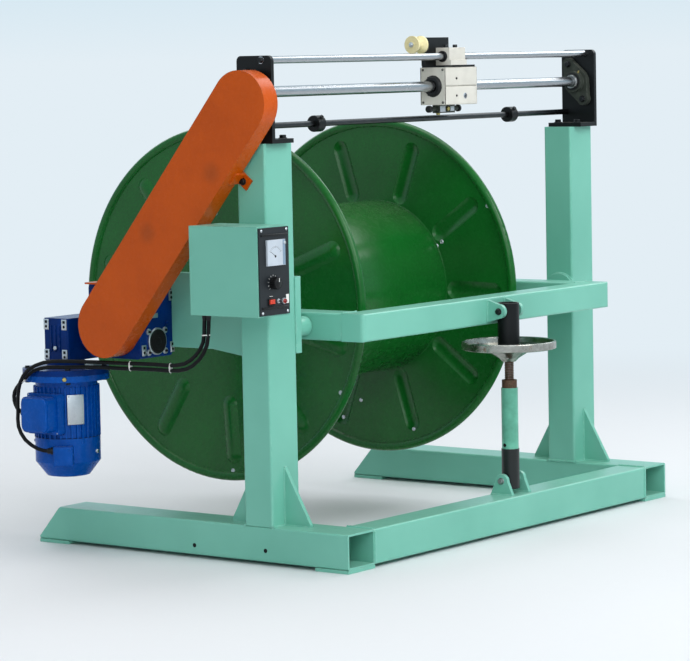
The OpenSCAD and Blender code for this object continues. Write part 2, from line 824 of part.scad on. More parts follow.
// Reel flange drawn flat, outside face up: sheet, rolled rim and pressed ribs
module flange(turn) {
  sink = rib_r - rib_h;
  difference() {
    union() {
      difference() {
        cylinder(h = sheet_t, r = rim_r);
        translate([0, 0, -1]) cylinder(h = sheet_t + 2, d = reel_shaft_d);
      }
      translate([0, 0, sheet_t / 2]) rotate_extrude() translate([rim_r, 0]) circle(rim_d / 2);
      intersection() {
        cylinder(h = sheet_t + rib_h + 1, r = rim_r);
        translate([0, 0, sheet_t - sink]) for (i = [0 : rib_count - 1])
          rotate(turn + 360 / rib_count * i) rib(rib_r);
      }
    }
    translate([0, 0, -sink]) for (i = [0 : rib_count - 1])
      rotate(turn + 360 / rib_count * i) rib(rib_r);
  }
}

module reel_left_flange() {
  color("darkgreen") placed() translate([yoke_shift - sheet_x + sheet_t / 2, reel_y, reel_z])
    rotate([0, -90, 0]) flange(left_turn);
}

module reel_right_flange() {
  color("darkgreen") placed() translate([yoke_shift + sheet_x - sheet_t / 2, reel_y, reel_z])
    rotate([0, 90, 0]) flange(right_turn);
}

module reel_barrel() {
  half = sheet_x - sheet_t / 2;
  color("darkgreen") placed() translate([yoke_shift, 0, 0]) difference() {
    rod_x(-half, half, reel_y, reel_z, barrel_d);
    rod_x(-half - 1, half + 1, reel_y, reel_z, barrel_d - 2 * barrel_wall);
  }
}

module reel_shaft() {
  color("gray") placed() rod_x(yoke_shift - shaft_end, yoke_shift + shaft_end, reel_y, reel_z, reel_shaft_d);
}

module traverse_shaft() {
  color("lightgray") placed() rod_x(guard_x1 - 22, bracket_x + 12, shaft_y, shaft_z, shaft_d);
}

carriage_x0 = carriage_x - carriage_l / 2;
carriage_x1 = carriage_x + carriage_l / 2;
carriage_z0 = shaft_z - carriage_h / 2;
carriage_z1 = shaft_z + carriage_h / 2;
arm_plate_x = carriage_x0 - 32;
arm_plate_y = guide_y + block_d / 2;
roller_y = arm_plate_y + arm_plate_t / 2;
roller_z = guide_z + roller_up;
roller_x = arm_plate_x - roller_l - 6;

// Rolling-ring unit: end faces with round seals about the smooth shaft
module carriage_body() {
  color("gainsboro") placed() difference() {
    box(carriage_x0, carriage_x1, shaft_y - carriage_d / 2, shaft_y + carriage_d / 2,
        carriage_z0, carriage_z1);
    rod_x(carriage_x0 - 1, carriage_x1 + 1, shaft_y, shaft_z, shaft_d + 2 * run);
  }
}

module carriage_rod_block() {
  x0 = carriage_x0 + 14;
  lip = 4;
  color("gainsboro") placed() difference() {
    union() {
      box(x0, x0 + block_l, guide_y - block_d / 2, guide_y + block_d / 2,
          carriage_z1 + cover_t, guide_z + guide_d + lip);
      box(x0, x0 + block_l, guide_y - block_d / 2 - lip, guide_y + block_d / 2,
          carriage_z1 + cover_t, guide_z - guide_d / 2);
    }
    rod_x(x0 - 1, x0 + block_l + 1, guide_y, guide_z, guide_d + 2 * run);
  }
}

// Cover plate, the upright plate behind the guide rod and the roller's pin
module carriage_bracket() {
  inset = 2;
  color("black") placed() {
    box(carriage_x0 + inset, carriage_x1 - inset, shaft_y - carriage_d / 2 + inset,
        shaft_y + carriage_d / 2 - inset, carriage_z1, carriage_z1 + cover_t);
    box(arm_plate_x, arm_plate_x + arm_plate_l, arm_plate_y, arm_plate_y + arm_plate_t,
        carriage_z1 + cover_t - e, guide_z + arm_plate_rise);
    rod_x(roller_x - 2, arm_plate_x + e, roller_y, roller_z, roller_pin_d);
  }
}

module guide_roller() {
  r = roller_d / 2;
  waist = r - roller_l / 4;
  color("palegoldenrod") placed() translate([roller_x, roller_y, roller_z]) rotate([0, 90, 0])
    difference() {
      rotate_extrude() polygon([[0, 0], [r, 0], [r, roller_l / 8], [waist, roller_l * 0.32],
        [waist, roller_l * 0.68], [r, roller_l * 7 / 8], [r, roller_l], [0, roller_l]]);
      translate([0, 0, -1]) cylinder(h = roller_l + 2, d = roller_pin_d + 2 * run);
    }
}

// Reversing lever under the carriage, with a stud at each end that meets the collars
module carriage_lever() {
  y1 = stop_y - stop_d / 2 - free;
  y0 = y1 - lever_w;
  z = carriage_z0 - lever_h / 2;
  color("dimgray") placed() {
    box(carriage_x - carriage_l * 0.26, carriage_x + carriage_l * 0.26, y0, y1,
        carriage_z0 - lever_h, carriage_z0);
    rod_x(carriage_x - lever_l / 2, carriage_x + lever_l / 2, (y0 + y1) / 2, z, lever_h * 0.6);
  }
}

// Black sleeve, open at the top; the screw's upper end turns in its foot
module jack_sleeve() {
  color("black") placed() difference() {
    rod_z(sleeve_z0, sleeve_z1, jack_x, jack_y, sleeve_d);
    rod_z(sleeve_z1 - 40, sleeve_z1 + 1, jack_x, jack_y, sleeve_d - 8);
    rod_z(sleeve_z0 - 1, screw_z1 + 2, jack_x, jack_y, screw_d + 2 * run);
  }
}

module jack_screw() {
  color("gray") placed() rod_z(screw_z0, screw_z1, jack_x, jack_y, screw_d);
}

// Dished handwheel with a flat rim and a hub that carries the sleeve
module handwheel() {
  r = wheel_d / 2;
  z0 = wheel_z - wheel_rim * 0.4;
  wall = 6;
  color("silver") placed() translate([jack_x, jack_y, 0]) rotate_extrude()
    polygon([[screw_d / 2, hub_z0], [screw_d / 2 + wall, hub_z0], [wheel_hub_d / 2, hub_z0 + 8],
             [dish_d / 2, z0 - wall], [r - wall, z0 - 2], [r, z0], [r, z0 + wheel_rim],
             [r - wall, z0 + wheel_rim], [r - wall - 2, z0 + 4], [dish_d / 2 + 2, z0],
             [sleeve_d / 2 + free + 2, hub_z1], [screw_d / 2, hub_z1]]);
}

base_side_tubes();
front_base_tube();
foot_pads();
left_column();
right_column();
column_gussets();
drive_plate();
pivot_pins();
jack_base_ears();
jack_tube();
jack_nut();
control_box();
control_panel();
panel_meter();
panel_switches();
panel_knob();
top_brackets();
flange_bearings();
guide_rod();
stop_rod();
stop_collars();
main_gearbox();
worm_end_cap();
gearbox_flange();
first_gearbox();
motor_body();
motor_fan_cover();
motor_boxes();
motor_leads();
chain_guard();
yoke_front_tube();
yoke_arms();
yoke_jack_ears();
reel_left_flange();
reel_right_flange();
reel_barrel();
reel_shaft();
traverse_shaft();
carriage_body();
carriage_rod_block();
carriage_bracket();
carriage_lever();
guide_roller();
jack_sleeve();
jack_screw();
handwheel();
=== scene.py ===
import math

import bmesh
import bpy
from mathutils import Matrix, Vector


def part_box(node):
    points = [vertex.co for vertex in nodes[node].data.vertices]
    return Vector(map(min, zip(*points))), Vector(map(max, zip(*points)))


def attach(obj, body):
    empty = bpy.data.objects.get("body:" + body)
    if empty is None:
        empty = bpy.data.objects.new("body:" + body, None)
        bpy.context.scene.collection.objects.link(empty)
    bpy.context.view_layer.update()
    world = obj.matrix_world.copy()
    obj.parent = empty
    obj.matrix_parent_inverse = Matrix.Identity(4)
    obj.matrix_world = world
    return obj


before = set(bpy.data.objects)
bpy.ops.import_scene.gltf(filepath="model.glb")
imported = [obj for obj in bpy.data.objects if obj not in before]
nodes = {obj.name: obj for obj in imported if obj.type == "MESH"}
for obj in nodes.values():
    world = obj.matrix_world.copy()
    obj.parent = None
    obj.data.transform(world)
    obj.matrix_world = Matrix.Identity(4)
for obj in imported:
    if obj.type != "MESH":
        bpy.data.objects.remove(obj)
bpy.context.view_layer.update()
scene = bpy.context.scene
scene.view_settings.view_transform = "Standard"
print("frame loaded:", len(nodes), "nodes")

# sizes below are in mm from the middle of the base, as in the part's source
baseLo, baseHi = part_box("base_side_tubes")
baseMid = Vector(((baseLo.x + baseHi.x) / 2, (baseLo.y + baseHi.y) / 2, 0.0))
toMetres = Matrix.Diagonal((0.001, 0.001, 0.001, 1.0))


def spot(x, y, z):
    return baseMid + Vector((x, y, z)) * 0.001


def span(name):
    lo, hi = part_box(name)
    return (Vector(lo) - baseMid) * 1000, (Vector(hi) - baseMid) * 1000


def centre(name):
    lo, hi = span(name)
    return (lo + hi) / 2


# turns a shape drawn in mm, standing on z = 0, on to a face of the machine
def onto(origin, facing, spin=0.0):
    turn = Vector(facing).to_track_quat("Z", "Y").to_matrix().to_4x4()
    return Matrix.Translation(spot(*origin)) @ turn @ Matrix.Rotation(math.radians(spin), 4, "Z") @ toMetres


# camera, from a fit to the straight edges of the stand

cameraSetup = {
    "lens": 157.54,
    "sensor": 36.0,
    "azimuth": -52.89,
    "elevation": 5.16,
    "roll": -1.15,
    "place": (-5917.97, -4430.84, 1134.47),
}


def buildCamera(setup):
    a, e, r = (math.radians(setup[k]) for k in ("azimuth", "elevation", "roll"))
    back = Vector((math.sin(a) * math.cos(e), -math.cos(a) * math.cos(e), math.sin(e)))
    level = Vector((math.cos(a), math.sin(a), 0.0))
    upright = back.cross(level)
    right = level * math.cos(r) + upright * math.sin(r)
    up = upright * math.cos(r) - level * math.sin(r)
    data = bpy.data.cameras.new("photoCamera")
    data.lens = setup["lens"]
    data.sensor_width = setup["sensor"]
    data.sensor_fit = "HORIZONTAL"
    data.clip_end = 100.0
    camera = bpy.data.objects.new("photoCamera", data)
    scene.collection.objects.link(camera)
    camera.matrix_world = Matrix.Translation(spot(*setup["place"])) @ Matrix(
        (right, up, back)).transposed().to_4x4()
    scene.camera = camera


buildCamera(cameraSetup)
print("camera set")


# finishes: a function for each way of making, then one dictionary of looks

def linear(hexColour):
    parts = [int(hexColour[i:i + 2], 16) / 255 for i in (1, 3, 5)]
    return tuple(c / 12.92 if c <= 0.04045 else ((c + 0.055) / 1.055) ** 2.4 for c in parts) + (1.0,)


def addNode(tree, kind, settings=None, links=None):
    made = tree.nodes.new(kind)
    for key, value in (settings or {}).items():
        if key == "stops":   # marks of a colour ramp, from first to last
            marks = made.color_ramp.elements
            marks[0].position, marks[0].color = value[0]
            marks[1].position, marks[1].color = value[-1]
            for place, colour in value[1:-1]:
                marks.new(place).color = colour
        elif isinstance(key, int) or key in made.inputs:
            made.inputs[key].default_value = value
        else:
            setattr(made, key, value)
    for key, source in (links or {}).items():
        tree.links.new(source, made.inputs[key])
    return made


def newFinish(name, settings):
    material = bpy.data.materials.new(name)
    material.use_nodes = True
    tree = material.node_tree
    tree.nodes.clear()
    shader = addNode(tree, "ShaderNodeBsdfPrincipled", settings)
    addNode(tree, "ShaderNodeOutputMaterial", None, {"Surface": shader.outputs[0]})
    return material, tree, shader


def shaderOf(material):
    return next(n for n in material.node_tree.nodes if n.bl_idname == "ShaderNodeBsdfPrincipled")


# edgeFrom, edgeTo and the wear span shape the paler edges: thin wear and painted highlight
enamelSetup = {
    "coatRough": 0.12, "plainSpec": 0.3, "dustColour": "#B9B4A6", "dustFrom": 0.6,
    "edgeFrom": 0.985, "edgeTo": 0.86, "wearAndHighlightSpan": 0.12, "glossDown": 0.05, "glossUp": 0.06,
}


# sprayed enamel: even colour with a faint cloud, orange peel in the gloss,
# edges painted paler, partly thin wear and partly painted highlight where they catch light,
# a little dust on top faces; peel and casting grain are drawn coarser than real ones, so that they show
def sprayed(name, look):
    material, tree, shader = newFinish(name, {
        "Metallic": 0.0, "IOR": 1.5, "Specular IOR Level": look.get("spec", enamelSetup["plainSpec"]),
        "Coat Weight": look["coat"], "Coat Roughness": enamelSetup["coatRough"]})
    here = addNode(tree, "ShaderNodeTexCoord").outputs["Object"]
    face = addNode(tree, "ShaderNodeNewGeometry")
    soft = addNode(tree, "ShaderNodeBevel", {"samples": 4, "Radius": look["edgeMm"] / 1000})
    cloud = addNode(tree, "ShaderNodeTexNoise", {
        "Scale": 1000 / look["cloudMm"], "Detail": 3.0, "Roughness": 0.55}, {"Vector": here})
    scuff = addNode(tree, "ShaderNodeTexNoise", {
        "Scale": 1000 / look["scuffMm"], "Detail": 5.0, "Roughness": 0.65}, {"Vector": here})
    peel = addNode(tree, "ShaderNodeTexNoise", {
        "Scale": 1000 / look["peelMm"], "Detail": 2.0}, {"Vector": here})
    tint = addNode(tree, "ShaderNodeValToRGB", {"stops": [
        (0.3, linear(look["deep"])), (0.7, linear(look["colour"]))]}, {"Fac": cloud.outputs[0]})
    # edge wear and painted edge highlight, where the rounded normal leaves the flat one
    bend = addNode(tree, "ShaderNodeVectorMath", {"operation": "DOT_PRODUCT"}, {
        0: soft.outputs[0], 1: face.outputs["Normal"]})
    edge = addNode(tree, "ShaderNodeMapRange", {
        "From Min": enamelSetup["edgeFrom"], "From Max": enamelSetup["edgeTo"]}, {
        "Value": bend.outputs["Value"]})
    patch = addNode(tree, "ShaderNodeMapRange", {
        "From Min": look["wearAndHighlightFrom"], "From Max": look["wearAndHighlightFrom"] + enamelSetup["wearAndHighlightSpan"]}, {
        "Value": scuff.outputs[0]})
    wearAndHighlight = addNode(tree, "ShaderNodeMath", {"operation": "MULTIPLY"}, {
        0: edge.outputs[0], 1: patch.outputs[0]})
    rubbedAndHighlighted = addNode(tree, "ShaderNodeMix", {"data_type": "RGBA", 7: linear(look["wearAndHighlight"])}, {
        0: wearAndHighlight.outputs[0], 6: tint.outputs[0]})
    # dust settles on faces that look up
    lift = addNode(tree, "ShaderNodeSeparateXYZ", None, {0: face.outputs["Normal"]})
    level = addNode(tree, "ShaderNodeMapRange", {
        "From Min": enamelSetup["dustFrom"], "From Max": 1.0, "To Max": look["dust"]}, {
        "Value": lift.outputs["Z"]})
    settled = addNode(tree, "ShaderNodeMath", {"operation": "MULTIPLY"}, {
        0: level.outputs[0], 1: scuff.outputs[0]})
    dusty = addNode(tree, "ShaderNodeMix", {"data_type": "RGBA", 7: linear(enamelSetup["dustColour"])}, {
        0: settled.outputs[0], 6: rubbedAndHighlighted.outputs[2]})
    gloss = addNode(tree, "ShaderNodeMapRange", {
        "From Min": 0.3, "From Max": 0.7, "To Min": look["rough"] - enamelSetup["glossDown"],
        "To Max": look["rough"] + enamelSetup["glossUp"]}, {"Value": scuff.outputs[0]})
    skin = addNode(tree, "ShaderNodeBump", {
        "Strength": look["peel"], "Distance": look["peelDeepMm"] / 1000}, {
        "Height": peel.outputs[0], "Normal": soft.outputs[0]})
    tree.links.new(dusty.outputs[2], shader.inputs["Base Color"])
    tree.links.new(gloss.outputs[0], shader.inputs["Roughness"])
    tree.links.new(skin.outputs[0], shader.inputs["Normal"])
    return material


metalSetup = {"stainSpan": 0.1, "haze": 0.12, "lineDeepMm": 0.4}


# bare or plated metal: fine lay lines, soft blotches in the gloss, stains where given;
# lay lines are drawn at a millimetre and more, coarser than real ones, so that they show
def metal(name, look):
    material, tree, shader = newFinish(name, {"Metallic": 1.0})
    here = addNode(tree, "ShaderNodeTexCoord").outputs["Object"]
    soft = addNode(tree, "ShaderNodeBevel", {"samples": 4, "Radius": look["edgeMm"] / 1000})
    lay = addNode(tree, "ShaderNodeMapping", {"Scale": look["lay"]}, {"Vector": here})
    lines = addNode(tree, "ShaderNodeTexNoise", {
        "Scale": 1000 / look["lineMm"], "Detail": 3.0}, {"Vector": lay.outputs[0]})
    blotch = addNode(tree, "ShaderNodeTexNoise", {
        "Scale": 1000 / look["blotchMm"], "Detail": 6.0, "Roughness": 0.7}, {"Vector": here})
    tone = addNode(tree, "ShaderNodeValToRGB", {"stops": [
        (0.3, linear(look["deep"])), (0.7, linear(look["colour"]))]}, {"Fac": lines.outputs[0]})
    stain = addNode(tree, "ShaderNodeMapRange", {
        "From Min": look["stainFrom"], "From Max": look["stainFrom"] + metalSetup["stainSpan"]}, {
        "Value": blotch.outputs[0]})
    mixed = addNode(tree, "ShaderNodeMix", {"data_type": "RGBA", 7: linear(look["stain"])}, {
        0: stain.outputs[0], 6: tone.outputs[0]})
    bare = addNode(tree, "ShaderNodeMapRange", {"To Min": 1.0, "To Max": look["stainMetal"]}, {
        "Value": stain.outputs[0]})
    gloss = addNode(tree, "ShaderNodeMapRange", {
        "To Min": look["rough"], "To Max": look["stainRough"]}, {"Value": stain.outputs[0]})
    haze = addNode(tree, "ShaderNodeMath", {"operation": "MULTIPLY_ADD", 1: metalSetup["haze"]}, {
        0: blotch.outputs[0], 2: gloss.outputs[0]})
    skin = addNode(tree, "ShaderNodeBump", {
        "Strength": look["bump"], "Distance": metalSetup["lineDeepMm"] / 1000}, {
        "Height": lines.outputs[0], "Normal": soft.outputs[0]})
    tree.links.new(mixed.outputs[2], shader.inputs["Base Color"])
    tree.links.new(bare.outputs[0], shader.inputs["Metallic"])
    tree.links.new(haze.outputs[0], shader.inputs["Roughness"])
    tree.links.new(skin.outputs[0], shader.inputs["Normal"])
    return material


plasticSetup = {"plainSpec": 0.3, "glossDown": 0.05, "glossUp": 0.08, "grainDeepMm": 0.3}


# moulded plastic: fine spark texture, slight colour drift, rounded edges;
# the texture is drawn at about a millimetre, coarser than a real one, so that it shows
def moulded(name, look):
    material, tree, shader = newFinish(name, {
        "Metallic": 0.0, "IOR": look["ior"],
        "Specular IOR Level": look.get("spec", plasticSetup["plainSpec"])})
    here = addNode(tree, "ShaderNodeTexCoord").outputs["Object"]
    soft = addNode(tree, "ShaderNodeBevel", {"samples": 4, "Radius": look["edgeMm"] / 1000})
    drift = addNode(tree, "ShaderNodeTexNoise", {
        "Scale": 1000 / look["driftMm"], "Detail": 4.0}, {"Vector": here})
    grain = addNode(tree, "ShaderNodeTexNoise", {
        "Scale": 1000 / look["grainMm"], "Detail": 2.0}, {"Vector": here})
    tone = addNode(tree, "ShaderNodeValToRGB", {"stops": [
        (0.3, linear(look["deep"])), (0.7, linear(look["colour"]))]}, {"Fac": drift.outputs[0]})
    gloss = addNode(tree, "ShaderNodeMapRange", {
        "From Min": 0.3, "From Max": 0.7, "To Min": look["rough"] - plasticSetup["glossDown"],
        "To Max": look["rough"] + plasticSetup["glossUp"]}, {"Value": drift.outputs[0]})
    skin = addNode(tree, "ShaderNodeBump", {
        "Strength": look["grain"], "Distance": plasticSetup["grainDeepMm"] / 1000}, {
        "Height": grain.outputs[0], "Normal": soft.outputs[0]})
    tree.links.new(tone.outputs[0], shader.inputs["Base Color"])
    tree.links.new(gloss.outputs[0], shader.inputs["Roughness"])
    tree.links.new(skin.outputs[0], shader.inputs["Normal"])
    return material


finishLooks = {
    # satin enamel over welded tube: clear mint with pale edges, worn and with painted highlight
    "mintEnamel": (sprayed, {
        "colour": "#7AC4B1", "deep": "#6FB9A6", "wearAndHighlight": "#A4D9C9", "coat": 0.15, "rough": 0.36,
        "edgeMm": 2.5, "cloudMm": 260, "scuffMm": 22, "peelMm": 3.0, "peelDeepMm": 0.3, "peel": 0.04,
        "wearAndHighlightFrom": 0.47, "dust": 0.16}),
    # gloss enamel on pressed sheet: deep green with sharp reflections
    "reelEnamel": (sprayed, {
        "colour": "#126624", "deep": "#0D581D", "wearAndHighlight": "#37733F", "coat": 0.12, "spec": 0.25, "rough": 0.26,
        "edgeMm": 2.0, "cloudMm": 190, "scuffMm": 18, "peelMm": 7.0, "peelDeepMm": 0.05, "peel": 0.012,
        "wearAndHighlightFrom": 0.54, "dust": 0.12}),
    # satin enamel on folded sheet: warm orange, a little chalky
    "guardEnamel": (sprayed, {
        "colour": "#C85406", "deep": "#BA4C04", "wearAndHighlight": "#DC8044", "coat": 0.12, "spec": 0.15, "rough": 0.26,
        "edgeMm": 2.5, "cloudMm": 120, "scuffMm": 20, "peelMm": 3.0, "peelDeepMm": 0.1, "peel": 0.03,
        "wearAndHighlightFrom": 0.5, "dust": 0.14}),
    # thick paint on a die-cast housing: dark blue, grain of the casting shows
    "gearboxPaint": (sprayed, {
        "colour": "#013380", "deep": "#012866", "wearAndHighlight": "#4A6AA0", "coat": 0.0, "spec": 0.1, "rough": 0.3,
        "edgeMm": 2.0, "cloudMm": 60, "scuffMm": 10, "peelMm": 1.8, "peelDeepMm": 0.6, "peel": 0.3,
        "wearAndHighlightFrom": 0.52, "dust": 0.18}),
    # gloss paint on the finned motor: brighter blue
    "motorPaint": (sprayed, {
        "colour": "#0156B6", "deep": "#0149A0", "wearAndHighlight": "#2F72C6", "coat": 0.03, "spec": 0.13, "rough": 0.26,
        "edgeMm": 1.2, "cloudMm": 80, "scuffMm": 10, "peelMm": 2.0, "peelDeepMm": 0.3, "peel": 0.12,
        "wearAndHighlightFrom": 0.54, "dust": 0.16}),
    # black stove enamel on plate: soft sheen, grey at edges, rubbed and with painted highlight
    "blackEnamel": (sprayed, {
        "colour": "#101315", "deep": "#0B0E0F", "wearAndHighlight": "#44474A", "coat": 0.0, "spec": 0.22, "rough": 0.38,
        "edgeMm": 1.2, "cloudMm": 70, "scuffMm": 9, "peelMm": 1.8, "peelDeepMm": 0.4, "peel": 0.12,
        "wearAndHighlightFrom": 0.5, "dust": 0.2}),
    # matt enamel on a cast carriage: warm white, no gloss
    "carriageEnamel": (sprayed, {
        "colour": "#DEDDD4", "deep": "#D0CFC6", "wearAndHighlight": "#F3F2EC", "coat": 0.1, "rough": 0.42,
        "edgeMm": 1.8, "cloudMm": 50, "scuffMm": 8, "peelMm": 1.6, "peelDeepMm": 0.4, "peel": 0.12,
        "wearAndHighlightFrom": 0.46, "dust": 0.1}),
    # grey primer over sand-cast iron: rough, olive where oily
    "castIron": (sprayed, {
        "colour": "#3E443D", "deep": "#2B302B", "wearAndHighlight": "#7C807A", "coat": 0.0, "spec": 0.25, "rough": 0.46,
        "edgeMm": 1.5, "cloudMm": 26, "scuffMm": 7, "peelMm": 1.5, "peelDeepMm": 0.8, "peel": 0.45,
        "wearAndHighlightFrom": 0.48, "dust": 0.15}),
    # hard chrome on a ground bar: mirror along the length
    "hardChrome": (metal, {
        "colour": "#B4B6B9", "deep": "#A4A6AA", "stain": "#8A8A88", "stainFrom": 0.78, "stainMetal": 1.0,
        "rough": 0.2, "stainRough": 0.28, "edgeMm": 0.8, "lay": (0.05, 1.0, 1.0), "lineMm": 1.2,
        "blotchMm": 60, "bump": 0.001}),
    # black-oiled round bar: dark with a broad highlight
    "oiledBar": (metal, {
        "colour": "#4A4C4E", "deep": "#343637", "stain": "#6A6B6A", "stainFrom": 0.66, "stainMetal": 1.0,
        "rough": 0.26, "stainRough": 0.34, "edgeMm": 0.8, "lay": (0.05, 1.0, 1.0), "lineMm": 1.4,
        "blotchMm": 40, "bump": 0.05}),
    # pressed steel handwheel with its zinc worn through: rust in cloudy patches
    "wornSteel": (metal, {
        "colour": "#B2B1AA", "deep": "#94928A", "stain": "#74543E", "stainFrom": 0.6, "stainMetal": 0.3,
        "rough": 0.2, "stainRough": 0.6, "edgeMm": 1.5, "lay": (1.0, 1.0, 1.0), "lineMm": 14.0,
        "blotchMm": 42, "bump": 0.01}),
    # turned steel gone brown: rust nearly all over
    "rustedSteel": (metal, {
        "colour": "#6E5A4A", "deep": "#4A3B30", "stain": "#5C4030", "stainFrom": 0.46, "stainMetal": 0.1,
        "rough": 0.5, "stainRough": 0.8, "edgeMm": 1.0, "lay": (1.0, 1.0, 1.0), "lineMm": 3.0,
        "blotchMm": 9, "bump": 0.4}),
    # ground shaft steel, slightly oily: grey with fine lay lines
    "groundSteel": (metal, {
        "colour": "#A9AAA9", "deep": "#8E8F8E", "stain": "#6E655A", "stainFrom": 0.62, "stainMetal": 0.6,
        "rough": 0.26, "stainRough": 0.45, "edgeMm": 0.8, "lay": (1.0, 1.0, 0.1), "lineMm": 1.2,
        "blotchMm": 20, "bump": 0.06}),
    # bright zinc on fasteners: cool, slightly clouded
    "brightZinc": (metal, {
        "colour": "#CDD0D3", "deep": "#B6BABD", "stain": "#8C8A84", "stainFrom": 0.66, "stainMetal": 0.8,
        "rough": 0.24, "stainRough": 0.42, "edgeMm": 0.4, "lay": (1.0, 1.0, 1.0), "lineMm": 2.0,
        "blotchMm": 5, "bump": 0.06}),
    # black oxide on hardened screws: near black with a dull gleam
    "blackOxide": (metal, {
        "colour": "#3A3B3C", "deep": "#272829", "stain": "#5A5450", "stainFrom": 0.64, "stainMetal": 0.8,
        "rough": 0.34, "stainRough": 0.5, "edgeMm": 0.4, "lay": (1.0, 1.0, 1.0), "lineMm": 2.0,
        "blotchMm": 5, "bump": 0.08}),
    # machined aluminium where the paint stops at a pad: pale, with cutter lines
    "machinedAluminium": (metal, {
        "colour": "#C9CCD0", "deep": "#B2B6BB", "stain": "#8E9196", "stainFrom": 0.64, "stainMetal": 0.9,
        "rough": 0.32, "stainRough": 0.45, "edgeMm": 0.5, "lay": (1.0, 0.12, 1.0), "lineMm": 1.4,
        "blotchMm": 9, "bump": 0.1}),
    # turned brass: a small warm glint
    "turnedBrass": (metal, {
        "colour": "#C2B070", "deep": "#A8965A", "stain": "#7E7040", "stainFrom": 0.62, "stainMetal": 0.9,
        "rough": 0.28, "stainRough": 0.45, "edgeMm": 0.4, "lay": (1.0, 1.0, 1.0), "lineMm": 1.6,
        "blotchMm": 6, "bump": 0.06}),
    # turned nylon: creamy, waxy sheen
    "turnedNylon": (moulded, {
        "colour": "#EFE7B8", "deep": "#E4DAA4", "ior": 1.53, "rough": 0.4, "edgeMm": 1.0,
        "driftMm": 18, "grainMm": 1.4, "grain": 0.1}),
    # textured sheet panel: charcoal, fine grain
    "panelSheet": (moulded, {
        "colour": "#1F2428", "deep": "#191D21", "ior": 1.5, "rough": 0.42, "edgeMm": 0.8,
        "driftMm": 60, "grainMm": 1.0, "grain": 0.16}),
    # moulded black ABS: even black, soft sheen
    "blackPlastic": (moulded, {
        "colour": "#17181A", "deep": "#111213", "ior": 1.53, "spec": 0.22, "rough": 0.34, "edgeMm": 0.8,
        "driftMm": 30, "grainMm": 1.0, "grain": 0.12}),
    # coated dial card behind a clear front: cool white, smooth
    "dialCard": (moulded, {
        "colour": "#C6D1DC", "deep": "#BAC6D2", "ior": 1.49, "rough": 0.2, "edgeMm": 0.8,
        "driftMm": 40, "grainMm": 1.5, "grain": 0.02}),
    # painted shade: blue-grey band down the right side of the meter's clear front
    "meterShadeBand": (moulded, {
        "colour": "#8FA6BC", "deep": "#7F97AE", "ior": 1.49, "rough": 0.18, "edgeMm": 0.5,
        "driftMm": 30, "grainMm": 1.5, "grain": 0.02}),
    # moulded red ABS: clean warm red
    "redPlastic": (moulded, {
        "colour": "#D9442E", "deep": "#C53824", "ior": 1.53, "rough": 0.28, "edgeMm": 0.8,
        "driftMm": 12, "grainMm": 1.0, "grain": 0.06}),
    # tinted acrylic lens, unlit: dark glossy red
    "lampLens": (moulded, {
        "colour": "#8E1A1E", "deep": "#6E1216", "ior": 1.55, "rough": 0.16, "edgeMm": 0.5,
        "driftMm": 5, "grainMm": 0.8, "grain": 0.1}),
    # extruded PVC sheath: dull black
    "cableSheath": (moulded, {
        "colour": "#0E0F11", "deep": "#090A0B", "ior": 1.52, "spec": 0.15, "rough": 0.5, "edgeMm": 0.5,
        "driftMm": 25, "grainMm": 1.2, "grain": 0.12}),
    # moulded rubber lip: dead black ring
    "sealRubber": (moulded, {
        "colour": "#17181A", "deep": "#0F1011", "ior": 1.52, "rough": 0.55, "edgeMm": 0.5,
        "driftMm": 12, "grainMm": 0.9, "grain": 0.2}),
    # moulded white nylon: clean white ties and marks
    "whiteNylon": (moulded, {
        "colour": "#EEF0EE", "deep": "#E2E5E2", "ior": 1.53, "rough": 0.38, "edgeMm": 0.4,
        "driftMm": 12, "grainMm": 1.0, "grain": 0.06}),
    # inside of a hole, out of the light
    "holeShade": (moulded, {
        "colour": "#0B0C0D", "deep": "#060607", "ior": 1.45, "rough": 0.8, "edgeMm": 0.3,
        "driftMm": 6, "grainMm": 0.8, "grain": 0.1}),
}
finish = {name: make(name, look) for name, (make, look) in finishLooks.items()}


# painted upper part of the jack tube over a bare black foot
def jackTubeFinish(setup):
    look = dict(finishLooks["mintEnamel"][1], colour=setup["tube"], deep=setup["tubeDeep"],
                cloudMm=setup["cloudMm"])
    material = sprayed("mintOverBlackTube", look)
    tree, shader = material.node_tree, shaderOf(material)
    source = shader.inputs["Base Color"].links[0].from_socket
    here = addNode(tree, "ShaderNodeTexCoord").outputs["Object"]
    height = addNode(tree, "ShaderNodeSeparateXYZ", None, {0: here})
    step = setup["stepMm"] / 1000
    above = addNode(tree, "ShaderNodeMapRange", {"From Min": step - 0.001, "From Max": step}, {
        "Value": height.outputs["Z"]})
    split = addNode(tree, "ShaderNodeMix", {"data_type": "RGBA", 6: linear(setup["colour"])}, {
        0: above.outputs[0], 7: source})
    tree.links.new(split.outputs[2], shader.inputs["Base Color"])
    return material


# the tube's mint is darker than the stand's: painted shade, as the tube stands in shade; its darker cloud
# stands for stains
jackFoot = {"stepMm": 196.5, "colour": "#161B1B", "tube": "#6DBFA6", "tubeDeep": "#559C86", "cloudMm": 38}
finish["jackTube"] = jackTubeFinish(jackFoot)


